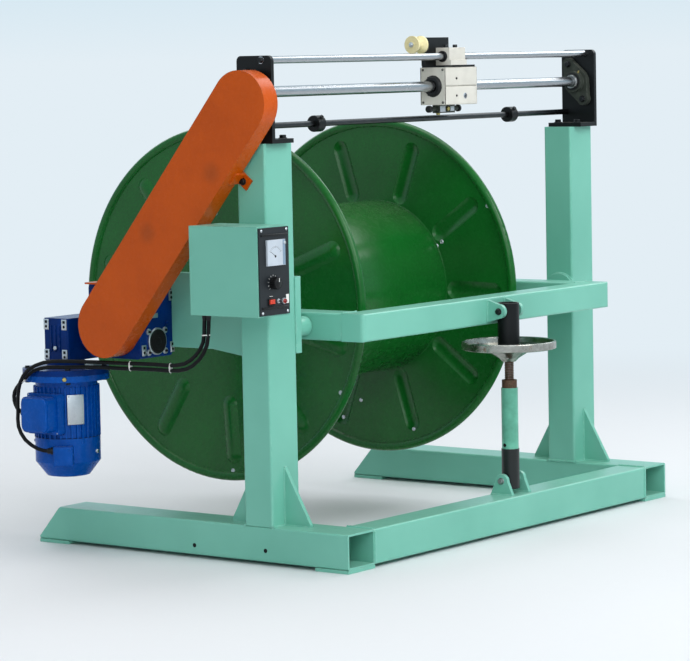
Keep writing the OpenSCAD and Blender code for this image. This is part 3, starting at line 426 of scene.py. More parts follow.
# two faint thumbed smudges on the guard's face
def guardFinish(setup):
    material = sprayed("smudgedGuardEnamel", finishLooks["guardEnamel"][1])
    tree, shader = material.node_tree, shaderOf(material)
    here = addNode(tree, "ShaderNodeTexCoord").outputs["Object"]
    for place in setup["places"]:
        away = addNode(tree, "ShaderNodeVectorMath", {"operation": "DISTANCE", 1: spot(*place)}, {0: here})
        near = addNode(tree, "ShaderNodeMapRange", {
            "interpolation_type": "SMOOTHSTEP", "From Min": setup["reachMm"] / 1000,
            "From Max": setup["coreMm"] / 1000, "To Max": setup["strength"]}, {
            "Value": away.outputs["Value"]})
        mixed = addNode(tree, "ShaderNodeMix", {"data_type": "RGBA", 7: linear(setup["colour"])}, {
            0: near.outputs[0], 6: shader.inputs["Base Color"].links[0].from_socket})
        tree.links.new(mixed.outputs[2], shader.inputs["Base Color"])
    return material


guardSmudges = {"places": ((-736, -145.7, 885.3), (-736, 46.5, 748.1)), "reachMm": 34.0, "coreMm": 6.0,
                "strength": 0.3, "colour": "#5E3418"}
finish["guardEnamel"] = guardFinish(guardSmudges)

nodeFinish = {
    "mintEnamel": ["base_side_tubes", "front_base_tube", "foot_pads", "left_column", "right_column",
                   "column_gussets", "drive_plate", "pivot_pins", "jack_base_ears", "control_box",
                   "yoke_front_tube", "yoke_arms", "yoke_jack_ears"],
    "reelEnamel": ["reel_left_flange", "reel_right_flange", "reel_barrel"],
    "guardEnamel": ["chain_guard"],
    "gearboxPaint": ["main_gearbox", "gearbox_flange", "first_gearbox"],
    "motorPaint": ["motor_body", "motor_fan_cover", "motor_boxes"],
    "blackEnamel": ["top_brackets", "stop_collars", "carriage_bracket", "jack_sleeve"],
    "hardChrome": ["guide_rod", "traverse_shaft"],
    "oiledBar": ["stop_rod"],
    "groundSteel": ["reel_shaft", "jack_screw"],
    "wornSteel": ["handwheel"],
    "castIron": ["flange_bearings", "carriage_lever"],
    "rustedSteel": ["jack_nut"],
    "carriageEnamel": ["carriage_body", "carriage_rod_block"],
    "turnedNylon": ["guide_roller"],
    "panelSheet": ["control_panel"],
    "blackPlastic": ["panel_knob", "worm_end_cap"],
    "dialCard": ["panel_meter"],
    "redPlastic": ["panel_switches"],
    "cableSheath": ["motor_leads"],
    "jackTube": ["jack_tube"],
}
for key, names in nodeFinish.items():
    for name in names:
        nodes[name].data.materials.clear()
        nodes[name].data.materials.append(finish[key])
unfinished = set(nodes) - {n for names in nodeFinish.values() for n in names}
print("finishes set, nodes without one:", sorted(unfinished))


# shaping helpers: each draws in mm and settles into a shared bmesh

def settle(bm, shape, place):
    bmesh.ops.remove_doubles(shape, verts=shape.verts, dist=0.0005)
    bmesh.ops.recalc_face_normals(shape, faces=shape.faces)
    bmesh.ops.transform(shape, matrix=place, verts=shape.verts)
    scratch = bpy.data.meshes.new("scratch")
    shape.to_mesh(scratch)
    shape.free()
    bm.from_mesh(scratch)
    bpy.data.meshes.remove(scratch)


# a profile of (radius, height) turned about the axis
def turned(bm, profile, place, steps=20, stretch=(1.0, 1.0)):
    shape = bmesh.new()
    row = [shape.verts.new((r, 0.0, h)) for r, h in profile]
    line = [shape.edges.new(pair) for pair in zip(row, row[1:])]
    bmesh.ops.spin(shape, geom=row + line, cent=(0, 0, 0), axis=(0, 0, 1), angle=math.tau,
                   steps=steps, use_merge=True)
    bmesh.ops.scale(shape, vec=(stretch[0], stretch[1], 1.0), verts=shape.verts)
    settle(bm, shape, place)


def cuboid(size):
    shape = bmesh.new()
    bmesh.ops.create_cube(shape, size=1.0)
    bmesh.ops.scale(shape, vec=size, verts=shape.verts)
    bmesh.ops.translate(shape, vec=(0, 0, size[2] / 2), verts=shape.verts)
    return shape


def soften(shape, edges, offset, segments):
    bmesh.ops.bevel(shape, geom=edges, offset=offset, offset_type="OFFSET", affect="EDGES",
                    segments=segments, profile=0.5, material=-1)


# a block standing on its seat, with softened edges
def block(bm, size, place, soft=0.6, segments=2):
    shape = cuboid(size)
    if soft:
        soften(shape, shape.edges[:], soft, segments)
    settle(bm, shape, place)


def hexHead(bm, across, height, place):
    shape = bmesh.new()
    r = across / 1.732   # across the flats to the corner radius
    bmesh.ops.create_cone(shape, cap_ends=True, segments=6, radius1=r, radius2=r, depth=height)
    bmesh.ops.translate(shape, vec=(0, 0, height / 2), verts=shape.verts)
    top = [e for e in shape.edges if all(v.co.z > height * 0.9 for v in e.verts)]
    soften(shape, top, across * 0.07, 1)
    settle(bm, shape, place)


# a pressed lid: round corners and a soft top edge
def pillow(bm, size, place, corner, soft):
    shape = cuboid(size)
    for picked, offset in ((lambda a, b: abs(a.z - b.z) > size[2] * 0.5, corner),
                           (lambda a, b: min(a.z, b.z) > size[2] * 0.99, soft)):
        soften(shape, [e for e in shape.edges if picked(e.verts[0].co, e.verts[1].co)], offset, 4)
    settle(bm, shape, place)


def shifted(place, x, y, z=0.0):
    return place @ Matrix.Translation((x, y, z))


# a place on a circle about the seat, turned to look outwards
def around(place, radius, angle):
    return shifted(place, radius * math.cos(angle), radius * math.sin(angle)) @ Matrix.Rotation(angle, 4, "Z")


def hexBolt(bm, place, across, washer=True):
    if washer:
        turned(bm, [(0, 0), (across * 0.66, 0), (across * 0.66, across * 0.09),
                    (across * 0.6, across * 0.13), (0, across * 0.13)], place, 18)
    hexHead(bm, across, across * 0.42, shifted(place, 0, 0, across * 0.12 if washer else 0.0))


def capScrew(bm, place, d):
    r, h = d * 0.8, d
    turned(bm, [(0, h * 0.45), (r * 0.5, h * 0.45), (r * 0.5, h), (r * 0.88, h), (r, h * 0.88),
                (r, 0), (0, 0)], place, 14)


def panScrew(bm, place, d):
    turned(bm, [(0, d * 0.22), (d * 0.14, d * 0.24), (d * 0.2, d * 0.42), (d * 0.42, d * 0.36),
                (d * 0.62, d * 0.2), (d * 0.66, 0), (0, 0)], place, 14)
    block(bm, (d * 0.9, d * 0.16, d * 0.42), place, 0.0)


# a ring of round section lying on its seat
def loop(bm, radius, thick, place, steps=32):
    shape = bmesh.new()
    bmesh.ops.create_circle(shape, segments=8, radius=thick)
    bmesh.ops.rotate(shape, cent=(0, 0, 0), matrix=Matrix.Rotation(math.pi / 2, 3, "X"), verts=shape.verts)
    bmesh.ops.translate(shape, vec=(radius, 0, 0), verts=shape.verts)
    bmesh.ops.spin(shape, geom=shape.verts[:] + shape.edges[:], cent=(0, 0, 0), axis=(0, 0, 1),
                   angle=math.tau, steps=steps, use_merge=True)
    settle(bm, shape, place)


# a weld run between two points: a rippled bead half sunk in the corner
def weld(bm, start, end, thick):
    a, b = Vector(start), Vector(end)
    length = (b - a).length
    shape = bmesh.new()
    bmesh.ops.create_cone(shape, cap_ends=True, segments=8, radius1=thick, radius2=thick, depth=length)
    bmesh.ops.translate(shape, vec=(0, 0, length / 2), verts=shape.verts)
    rails = [e for e in shape.edges if abs(e.verts[0].co.z - e.verts[1].co.z) > length * 0.5]
    bmesh.ops.subdivide_edges(shape, edges=rails, cuts=max(2, int(length / (thick * 1.6))))
    for v in shape.verts:
        ripple = 1.0 + 0.14 * math.sin(v.co.z * 2.0 + a.x) + 0.08 * math.sin(v.co.z * 0.7 + a.y)
        v.co.x *= ripple
        v.co.y *= ripple
    settle(bm, shape, onto(a, b - a))


def finishPiece(name, bm, look, body):
    mesh = bpy.data.meshes.new(name)
    bm.to_mesh(mesh)
    bm.free()
    mesh.materials.append(finish[look])
    mesh.shade_smooth()
    mesh.set_sharp_from_angle(angle=math.radians(38))
    piece = bpy.data.objects.new(name, mesh)
    scene.collection.objects.link(piece)
    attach(piece, body)


# stand: weld runs, and the small holes in the side tubes

standWelds = {
    "thick": 3.2, "thin": 2.4, "plateThick": 3.0, "gussetHalf": 5, "gussetFoot": 70, "gussetRise": 130,
    "driveFoot": 76, "earPlate": 10, "earFoot": 30, "pinRing": 46.5, "armWide": 64,
}


def buildStandWelds(setup):
    bm = bmesh.new()
    t, half = setup["thick"], setup["gussetHalf"]
    crossLo, crossHi = span("front_base_tube")
    for name, end in (("left_column", crossLo.x), ("right_column", crossHi.x)):
        lo, hi = span(name)
        inner, outer = sorted((lo.x, hi.x), key=abs)
        for y in (lo.y, hi.y):
            weld(bm, (inner, y, lo.z), (outer, y, lo.z), t)
        weld(bm, (inner, lo.y, lo.z), (inner, hi.y, lo.z), t)
        middle = (inner + outer) / 2
        for y, way in ((lo.y, -1), (hi.y, 1)):
            for x in (middle - half, middle + half):
                weld(bm, (x, y, lo.z), (x, y + way * setup["gussetFoot"], lo.z), t * 0.8)
                weld(bm, (x, y, lo.z), (x, y, lo.z + setup["gussetRise"]), t * 0.8)
        weld(bm, (end, crossLo.y + 4, crossHi.z), (end, crossHi.y - 4, crossHi.z), t)
        for y in (crossHi.y, crossLo.y):
            weld(bm, (end, y, crossLo.z + 5), (end, y, crossHi.z - 4), t)
    lo, hi = span("drive_plate")
    for z in (lo.z + 12, hi.z):
        weld(bm, (lo.x, lo.y + 4, z), (lo.x, lo.y + setup["driveFoot"], z), t)
    weld(bm, (lo.x, lo.y, lo.z + 14), (lo.x, lo.y, hi.z - 2), t * 0.8)
    plate, foot, thick = setup["earPlate"], setup["earFoot"], setup["plateThick"]
    lo, hi = span("jack_base_ears")
    y = centre("jack_base_ears").y
    for x in (lo.x, lo.x + plate, hi.x - plate, hi.x):
        weld(bm, (x, y - foot, lo.z), (x, y + foot, lo.z), thick)
    pin = centre("pivot_pins")
    loop(bm, setup["pinRing"], thick, onto((span("pivot_pins")[1].x - 0.4, pin.y, pin.z), (-1, 0, 0)))
    finishPiece("standWelds", bm, "mintEnamel", "frame")

    bm = bmesh.new()
    lo, hi = span("yoke_jack_ears")
    for x in (lo.x, lo.x + plate, hi.x - plate, hi.x):
        weld(bm, (x, hi.y, lo.z + 2), (x, hi.y, hi.z - 2), thick)
    armLo, armHi = span("yoke_arms")
    tubeLo, tubeHi = span("yoke_front_tube")
    wide = setup["armWide"]
    for x0, x1 in ((armLo.x, armLo.x + wide), (armHi.x - wide, armHi.x)):
        for z in (tubeHi.z - 0.8, tubeLo.z + 0.8):
            weld(bm, (x0 + 4, armLo.y, z), (x1 - 4, armLo.y, z), setup["thin"])
    for x in (armLo.x + wide, armHi.x - wide):
        weld(bm, (x, armLo.y, tubeLo.z + 4), (x, armLo.y, tubeHi.z - 4), thick)
    finishPiece("yokeWelds", bm, "mintEnamel", "yoke")


buildStandWelds(standWelds)

tubeHoles = {"radius": 5.5, "along": ((-19.8, 30.0), (-227.6, 34.1)), "jackRadius": 5.6, "jackZ": 205.0,
             "jackFacing": (-0.985, 0.16, 0), "jackTubeR": 19.6}


def buildTubeHoles(setup):
    bm = bmesh.new()
    lo, hi = span("base_side_tubes")
    r = setup["radius"]
    for x, way in ((lo.x, -1), (hi.x, 1)):
        for y, z in setup["along"]:
            turned(bm, [(0, 0.1), (r - 0.4, 0.15), (r, -0.6)], onto((x, y, z), (way, 0, 0)), 16)
    jack = centre("jack_tube")
    out = Vector(setup["jackFacing"]).normalized()
    r, tubeR = setup["jackRadius"], setup["jackTubeR"]
    turned(bm, [(0, 1.2), (r * 0.7, 1.0), (r, -0.8)],
           onto((jack.x + out.x * tubeR, jack.y + out.y * tubeR, setup["jackZ"]), out), 16)
    finishPiece("drilledHoles", bm, "holeShade", "frame")


buildTubeHoles(tubeHoles)
print("stand welds and holes done")


# traverse: bearings, rod ends, collars

bearingSetup = {"pitch": 99.0, "tilt": 26.0, "thick": 14.0, "plate": 10, "boltAcross": 13.0, "shaftR": 12.5,
                "bossR": 26.0, "nippleLean": (0, -0.5, 0.86)}


def buildBearings(setup):
    shaft = centre("traverse_shaft")
    lo, hi = span("flange_bearings")
    rise = setup["pitch"] / 2 * math.cos(math.radians(setup["tilt"]))
    run = setup["pitch"] / 2 * math.sin(math.radians(setup["tilt"]))
    r, bossR = setup["shaftR"], setup["bossR"]
    lean = Vector(setup["nippleLean"])
    bolts, seals, rings, nipples = (bmesh.new() for _ in range(4))
    for way, face in ((1, hi.x), (-1, lo.x)):
        seat = face - way * setup["thick"]
        for s in (1, -1):
            y, z = shaft.y + s * run, shaft.z + s * rise
            hexBolt(bolts, onto((seat, y, z), (-way, 0, 0), 12), setup["boltAcross"])
            turned(bolts, [(0, 0), (9.5, 0), (9.5, 7), (8, 8), (0, 8)],
                   onto((face + way * setup["plate"], y, z), (way, 0, 0)), 6)
        boss = onto((seat - way * setup["thick"], shaft.y, shaft.z), (-way, 0, 0))
        turned(seals, [(r + 4.5, -1), (r + 4.5, 0.8), (bossR - 3.5, 0.8), (bossR - 3.5, -1)], boss, 32)
        turned(rings, [(r + 0.25, -1), (r + 0.25, 6.5), (r + 1.0, 7.0), (r + 4.2, 7.0), (r + 4.8, 6.2),
                       (r + 4.8, -1)], boss, 32)
        turned(nipples, [(0, 0), (2.4, 0), (2.4, 1.6), (1.3, 2.2), (1.3, 4.2), (1.8, 5), (1.1, 6), (0, 6)],
               onto((seat - way * 6, shaft.y + lean.y * bossR, shaft.z + lean.z * bossR), lean), 10)
    finishPiece("bearingBolts", bolts, "blackOxide", "frame")
    finishPiece("bearingSeals", seals, "sealRubber", "frame")
    finishPiece("bearingRings", rings, "groundSteel", "frame")
    finishPiece("greaseNipples", nipples, "turnedBrass", "frame")


buildBearings(bearingSetup)

bracketSetup = {"plate": 10.0, "footBolt": 15.0, "footIn": 62, "edgeIn": 20, "endBolt": 12.0,
                "collarLong": 24, "collarEdge": 17.6, "collarScrew": 6.0, "screwOut": 13.0}


def buildBracketBolts(setup):
    lo, hi = span("top_brackets")
    guide, stop = centre("guide_rod"), centre("stop_rod")
    feet, ends, screws = (bmesh.new() for _ in range(3))
    for way, face in ((1, hi.x), (-1, lo.x)):
        for y in (lo.y + setup["edgeIn"], hi.y - setup["edgeIn"]):
            hexBolt(feet, onto((face - way * setup["footIn"], y, lo.z + setup["plate"]), (0, 0, 1), 8),
                    setup["footBolt"])
        for rod, spin in ((guide, 20), (stop, 5)):
            hexBolt(ends, onto((face, rod.y, rod.z), (way, 0, 0), spin), setup["endBolt"], False)
    lo, hi = span("stop_collars")
    long, out = setup["collarLong"], setup["screwOut"]
    for x in (lo.x + long / 2, hi.x - long / 2):
        capScrew(screws, onto((x, stop.y - out, stop.z + out), (0, -1, 1)), setup["collarScrew"])
    for x in (lo.x, lo.x + long, hi.x - long, hi.x):
        loop(screws, setup["collarEdge"], 1.0, onto((x, stop.y, stop.z), (1, 0, 0)))
    finishPiece("bracketBolts", feet, "blackOxide", "frame")
    finishPiece("rodEndBolts", ends, "blackOxide", "frame")
    finishPiece("collarScrews", screws, "blackOxide", "frame")


buildBracketBolts(bracketSetup)
print("traverse ends done")


# carriage: end seals, half shells, rod block, lever

carriageSetup = {"sealR": 26.0, "notches": 12, "notchR": 24.2, "screw": 3.4, "screwOff": (29, 39), "gap": 1.1,
                 "screwAlong": 0.34, "plugAlong": 0.62}


def buildCarriage(setup):
    lo, hi = span("carriage_body")
    middle = (lo + hi) / 2
    shaft = centre("traverse_shaft")
    seals, screws, shells, slots, plugs = (bmesh.new() for _ in range(5))
    offY, offZ = setup["screwOff"]
    for x, way in ((lo.x, -1), (hi.x, 1)):
        place = onto((x, shaft.y, shaft.z), (way, 0, 0))
        turned(seals, [(13.2, 0), (13.2, 5), (15, 6.5), (21, 6.5), (24, 4), (setup["sealR"], 0)], place, 36)
        for k in range(setup["notches"]):
            angle = math.tau * k / setup["notches"]
            block(seals, (3.2, 3.2, 4.4), around(place, setup["notchR"], angle), 0.4, 1)
        for sy in (-1, 1):
            for sz in (-1, 1):
                corner = (x - way * 1.6, middle.y + sy * offY, middle.z + sz * offZ)
                capScrew(screws, onto(corner, (way, 0, 0)), setup["screw"])
    length, half = hi.x - lo.x, (hi.z - lo.z) / 2
    for y, way in ((lo.y, -1), (hi.y, 1)):
        out = (0, way, 0)
        for share in (0.5, 1.5):   # two half shells with a narrow split between
            seat = onto((middle.x, y, lo.z + half * share), out)
            block(shells, (length, half - setup["gap"], 2.2), seat, 1.9, 3)
        for share in (0.48, 1.4):
            seat = onto((lo.x + length * setup["screwAlong"], y + way * 0.6, lo.z + half * share), out)
            capScrew(screws, seat, setup["screw"])
        plug = onto((lo.x + length * setup["plugAlong"], y + way * 1.6, lo.z + half * 0.46), out, 60)
        turned(plugs, [(0, 1.2), (6.6, 1.2), (7.6, 0.6), (7.6, -0.5), (0, -0.5)], plug, 20)
        for dy in (-3.0, 0.0, 3.0):
            block(slots, (10.5, 1.1, 1.6), shifted(plug, 0, dy), 0.0)
    finishPiece("carriageSeals", seals, "sealRubber", "carriage")
    finishPiece("carriageScrews", screws, "blackOxide", "carriage")
    finishPiece("carriageShells", shells, "carriageEnamel", "carriage")
    finishPiece("carriagePlugs", plugs, "machinedAluminium", "carriage")
    finishPiece("carriageSlots", slots, "holeShade", "carriage")


buildCarriage(carriageSetup)

rodBlockSetup = {"bushR": 13.5, "screw": 7.0, "screwIn": 14, "plate": 10, "plateScrew": 6.0,
                 "plateScrewDown": 54}


def buildRodBlock(setup):
    lo, hi = span("carriage_rod_block")
    guide = centre("guide_rod")
    bushes, screws, zincs, bosses = (bmesh.new() for _ in range(4))
    r = setup["bushR"]
    for x, way in ((lo.x, -1), (hi.x, 1)):
        turned(bushes, [(8.75, -1), (8.75, 3.4), (9.6, 4.0), (12.6, 4.0), (r, 3.0), (r, -1)],
               onto((x, guide.y, guide.z), (way, 0, 0)), 28)
    for x in (lo.x + setup["screwIn"], hi.x - setup["screwIn"]):
        capScrew(screws, onto((x, guide.y, hi.z), (0, 0, 1)), setup["screw"])
    # pin end and screws of the roller's plate
    plateLo, plateHi = span("carriage_bracket")
    roller = centre("guide_roller")
    turned(zincs, [(0, 0), (6.4, 0), (6.4, 1.2), (4.6, 1.8), (4.6, 3.4), (3.8, 4.0), (0, 4.0)],
           onto((plateLo.x + 0.6, roller.y, roller.z), (-1, 0, 0)), 16)
    for x in (lo.x + setup["plate"], hi.x - setup["plate"]):
        capScrew(zincs, onto((x, hi.y + setup["plate"], plateHi.z - setup["plateScrewDown"]), (0, 1, 0)),
                 setup["plateScrew"])
    for way, end in zip((-1, 1), span("guide_roller")):
        turned(bosses, [(4.2, 0.0), (4.2, 0.8), (7.5, 1.0), (8.0, 0.4), (8.0, 0.0)],
               onto((end.x, roller.y, roller.z), (way, 0, 0)), 20)
    finishPiece("rodBlockBushes", bushes, "blackPlastic", "carriage")
    finishPiece("rodBlockScrews", screws, "blackOxide", "carriage")
    finishPiece("rollerPinEnd", zincs, "brightZinc", "carriage")
    finishPiece("rollerBosses", bosses, "turnedNylon", "guide_roller")


buildRodBlock(rodBlockSetup)

leverSetup = {"knobR": 8.5, "knobLong": (13, 11), "blockIn": 34, "pinIn": 56, "boltIn": 30, "bolt": 9.0}


def buildLever(setup):
    lo, hi = span("carriage_lever")
    y, z = (lo.y + hi.y) / 2, (lo.z + hi.z) / 2
    knobs, blocks, brass = (bmesh.new() for _ in range(3))
    r = setup["knobR"]
    for x, way, long in zip((lo.x, hi.x), (-1, 1), setup["knobLong"]):
        turned(knobs, [(0, 0), (4, 0), (4, 2), (r, 3), (r, long - 2), (r - 1.6, long), (0, long)],
               onto((x, y, z), (way, 0, 0)), 18)
    front = (0, -1, 0)
    block(blocks, (22, 15, 3.0), onto((lo.x + setup["blockIn"], lo.y, z), front), 0.9)
    block(blocks, (16, 12, 3.0), onto((hi.x - setup["blockIn"], lo.y, z), front), 0.9)
    turned(brass, [(0, 0), (5, 0), (5, 4), (4, 5), (0, 5)], onto((lo.x + setup["pinIn"], lo.y, z), front), 14)
    hexBolt(brass, onto((lo.x + setup["boltIn"], y, lo.z + 0.4), (0, 0, -1)), setup["bolt"])
    finishPiece("leverKnobs", knobs, "blackPlastic", "carriage")
    finishPiece("leverBlocks", blocks, "machinedAluminium", "carriage")
    finishPiece("leverPins", brass, "turnedBrass", "carriage")


buildLever(leverSetup)
print("carriage done")


# drive: gearboxes, motor, ties on the leads, guard bolts

gearSetup = {
    "pad": (15.0, 25.0, 2.2), "sidePad": (16, 25.0, 2.2), "capRing": 31.5, "capEars": (29, 24),
    # on the front: distance from the left edge, or from the right where negative, and height
    "frontPads": ((10.5, 472), (-22, 473), (-23, 593), (10.5, 600)), "frontPlugs": ((18, 530), (-40, 530)),
    "plate": (26, 11, 1.0), "plateAt": (-7, 550), "backBolts": (40, 34), "backBolt": 8.0,
    # the first gearbox, placed from the motor's axis
    "leftOf": 32, "wide": 122, "halfDeep": 38, "padIn": 10, "padHeights": (454.5, 525.5), "ribHeight": 492,
    "sideRibs": (25, 38, 51), "rearRibs": (18, 61, 104), "plugAt": (37, 470),
}


def castPad(pads, shades, place, size):
    w, h, t = size
    block(pads, size, place, 0.8)
    block(shades, (w * 0.46, h * 0.26, 0.3), shifted(place, 0, h * 0.24, t), 0.0)
    turned(shades, [(0, 0.35), (3.4, 0.35), (3.6, -0.2)], shifted(place, 0, -h * 0.2, t), 14)


def buildGearboxes(setup):
    lo, hi = span("main_gearbox")
    cap = centre("worm_end_cap")
    pads, shades, ribs, screws = (bmesh.new() for _ in range(4))
    front, back = (0, -1, 0), (0, 1, 0)

    def onFront(place):
        away, z = place
        return onto(((lo.x if away > 0 else hi.x) + away, lo.y, z), front)

    r = setup["capRing"]
    turned(pads, [(28.1, 0), (28.1, 4.4), (29.2, 5.0), (r - 0.8, 4.6), (r, 3.6), (r, 0)],
           onto((cap.x, lo.y, cap.z), front), 40)
    turned(shades, [(0, 0.4), (8, 0.4), (9, 1.2), (19, 1.2), (20, 0.4), (24.5, 0.4), (25, -0.3)],
           onto((cap.x, span("worm_end_cap")[0].y, cap.z), front), 32)
    earX, earZ = setup["capEars"]
    for sx in (-1, 1):
        for sz in (-1, 1):
            place = onto((cap.x + sx * earX, lo.y, cap.z + sz * earZ), front)
            turned(pads, [(0, 4.0), (6.2, 4.0), (7.2, 3.2), (7.8, 0)], place, 18)
            capScrew(screws, shifted(place, 0, 0, 3.0), 4.0)
    for place in setup["frontPads"]:
        castPad(pads, shades, onFront(place), setup["pad"])
    block(pads, setup["plate"], onto((cap.x + setup["plateAt"][0], lo.y, setup["plateAt"][1]), front), 0.5)
    for place in setup["frontPlugs"]:
        turned(ribs, [(0, 5), (3.0, 5), (4.2, 4), (4.8, 0)], onFront(place), 14)
    boltX, boltZ = setup["backBolts"]
    for a in range(45, 405, 90):
        hexBolt(screws, onto((cap.x + boltX * math.cos(math.radians(a)), hi.y,
                              cap.z + boltZ * math.sin(math.radians(a))), back), setup["backBolt"])
    turned(ribs, [(31, 0), (31, 5), (38, 5), (39.5, 3), (39.5, 0)], onto((cap.x, hi.y, cap.z), back), 32)
    # lugs, ribs and plug on the first gearbox
    axis = centre("motor_body")
    y0, y1 = axis.y - setup["halfDeep"], axis.y + setup["halfDeep"]
    left = axis.x - setup["leftOf"]
    for x, way in ((left, -1), (left + setup["wide"], 1)):
        for y in (y0 + setup["padIn"], y1 - setup["padIn"]):
            for z in setup["padHeights"]:
                castPad(pads, shades, onto((x, y, z), (way, 0, 0)), setup["sidePad"])
        for along in setup["sideRibs"]:
            block(ribs, (3.0, 62, 3.0), onto((x, y0 + along, setup["ribHeight"]), (way, 0, 0)), 1.0)
    for along in setup["rearRibs"]:
        block(ribs, (3.0, 66, 3.0), onto((left + along, y1, setup["ribHeight"]), back), 1.0)
    along, z = setup["plugAt"]
    turned(pads, [(0, 3.6), (4.2, 3.6), (5.5, 2.8), (5.5, 0)],
           onto((left - 2.4, y0 + along, z), (-1, 0, 0)), 6)
    finishPiece("gearboxPads", pads, "machinedAluminium", "frame")
    finishPiece("gearboxShades", shades, "holeShade", "frame")
    finishPiece("gearboxRibs", ribs, "gearboxPaint", "frame")
    finishPiece("gearboxScrews", screws, "blackOxide", "frame")


buildGearboxes(gearSetup)

motorSetup = {
    "flangeUp": 14, "flangeThick": 28, "flangeBolt": 11.0, "boltR": 90.0,
    # angles round the motor, from the left side towards the front
    "plate": (40.0, 70.0, 2.4), "plateAngle": 57.0, "plateR": 77.5, "plateZ": 329.0, "rivets": (16.5, 31.5),
    "plugAngle": 40.0, "plugR": 100, "plugDown": 20, "earthAngle": 102.0, "earthR": 75.5, "earthZ": 226,
    "coverAngles": (70, 190, 310), "coverR": 76.6, "coverDown": 10, "coverScrew": 6.0,
    "airSlots": (16, 28, 40), "lid": (80, 80, 6.0), "lidZ": 320.0, "lidScrew": 4.5,
    "lidScrewOff": (44, -29.0), "smallLid": (43, 43, 3.0), "smallAngle": 35, "smallR": 96.2,
    "smallZ": 222, "smallScrew": 4.0, "smallOff": 15,
    # where the leads enter: terminal box, fan box (out, along, height), control box
    "lidGland": (-766, 407, 320), "smallGland": (87, 23, 235),
    "boxGlands": ((-735, -116, 571), (-735, -128, 571)),
}


def buildMotor(setup):
    body = centre("motor_body")
    fanLo, fanHi = span("motor_fan_cover")
    flangeTop = span("motor_body")[1].z + setup["flangeUp"]
    zincs, darks, plates, brass, blues, shades, blacks = (bmesh.new() for _ in range(7))

    def aim(angle):
        return Vector((-math.cos(math.radians(angle)), -math.sin(math.radians(angle)), 0))

    def beside(angle, radius, z):
        out = aim(angle)
        return onto((body.x + out.x * radius, body.y + out.y * radius, z), out)

    for a in (45, 135, 225, 315):
        x = body.x + setup["boltR"] * math.cos(math.radians(a))
        y = body.y + setup["boltR"] * math.sin(math.radians(a))
        for way, z in ((1, flangeTop), (-1, flangeTop - setup["flangeThick"])):
            hexBolt(darks, onto((x, y, z), (0, 0, way), a), setup["flangeBolt"])
    plate = beside(setup["plateAngle"], setup["plateR"], setup["plateZ"])
    block(plates, setup["plate"], plate, 0.5)
    offX, offY = setup["rivets"]
    for s in (-1, 1):
        for u in (-1, 1):
            turned(plates, [(0, 1.0), (1.2, 0.9), (1.9, 0.4), (2.1, 0)],
                   shifted(plate, s * offX, u * offY, setup["plate"][2]), 10)
    turned(brass, [(0, 6), (4.6, 6), (5.6, 5), (5.6, 1.5), (7.5, 1.5), (7.5, 0), (0, 0)],
           beside(setup["plugAngle"], setup["plugR"], flangeTop - setup["plugDown"]), 6)
    turned(zincs, [(0, 6), (4.2, 6), (5.2, 4.8), (5.2, 0), (0, 0)],
           beside(setup["earthAngle"], setup["earthR"], setup["earthZ"]), 6)
    for a in setup["coverAngles"]:
        panScrew(blues, beside(a, setup["coverR"], fanHi.z - setup["coverDown"]), setup["coverScrew"])
    loop(shades, setup["coverR"], 0.9, onto((body.x, body.y, fanHi.z), (0, 0, 1)), 64)
    for r in setup["airSlots"]:
        loop(shades, r, 2.4, onto((body.x, body.y, fanLo.z + 0.4), (0, 0, -1)), 40)
    # pillowed lids of the terminal box and the fan box, with their screws
    lid = onto((span("motor_boxes")[0].x, body.y, setup["lidZ"]), (-1, 0, 0))
    pillow(blues, setup["lid"], lid, 15.0, 5.0)
    small = beside(setup["smallAngle"], setup["smallR"], setup["smallZ"])
    pillow(blues, setup["smallLid"], small, 5.0, 2.0)
    out, back = setup["lidScrewOff"]
    off = setup["smallOff"]
    for s in (-1, 1):
        panScrew(zincs, shifted(lid, s * out, -s * out, back), setup["lidScrew"])
        panScrew(blues, shifted(small, s * off, s * off, 2.4), setup["smallScrew"])
    # glands where the leads enter
    gland = [(4.6, 0), (8.6, 0), (8.6, 6), (7.0, 7.0), (7.0, 12), (5.4, 15), (4.6, 15)]
    turned(blacks, gland, onto(setup["lidGland"], (0, 1, 0)), 12)
    far, along, z = setup["smallGland"]
    out, side = aim(setup["smallAngle"]), aim(setup["smallAngle"] - 90)
    x, y = body.x + out.x * far + side.x * along, body.y + out.y * far + side.y * along
    turned(blacks, gland, onto((x, y, z), side), 12)
    for place in setup["boxGlands"]:
        turned(blacks, [(4.6, 0), (6.0, 0), (6.0, 4), (5.2, 12), (4.6, 16)], onto(place, (0, 0, -1)), 12)
    finishPiece("motorBolts", zincs, "brightZinc", "frame")
    finishPiece("flangeBolts", darks, "blackOxide", "frame")
    finishPiece("motorPlate", plates, "machinedAluminium", "frame")
    finishPiece("motorPlug", brass, "turnedBrass", "frame")
    finishPiece("motorLids", blues, "motorPaint", "frame")
    finishPiece("motorShades", shades, "holeShade", "frame")
    finishPiece("leadGlands", blacks, "blackPlastic", "frame")


buildMotor(motorSetup)

tieSetup = {
    "width": 2.6, "reach": (5.6, 12.0),
    "at": (   # place, way along the leads, way from one lead to the other
        ((-735, -119, 522), (0, -0.08, -1), (0, 1, 0)),
        ((-720, 0, 441), (0, 1, 0), (0, 0, 1)),
        ((-716.5, 124, 439.6), (0, 1, 0), (0, 0, 1)),
        ((-786.5, 397, 400.5), (0.1, 0.66, -0.75), (-15, 2, -9)),
    ),
}


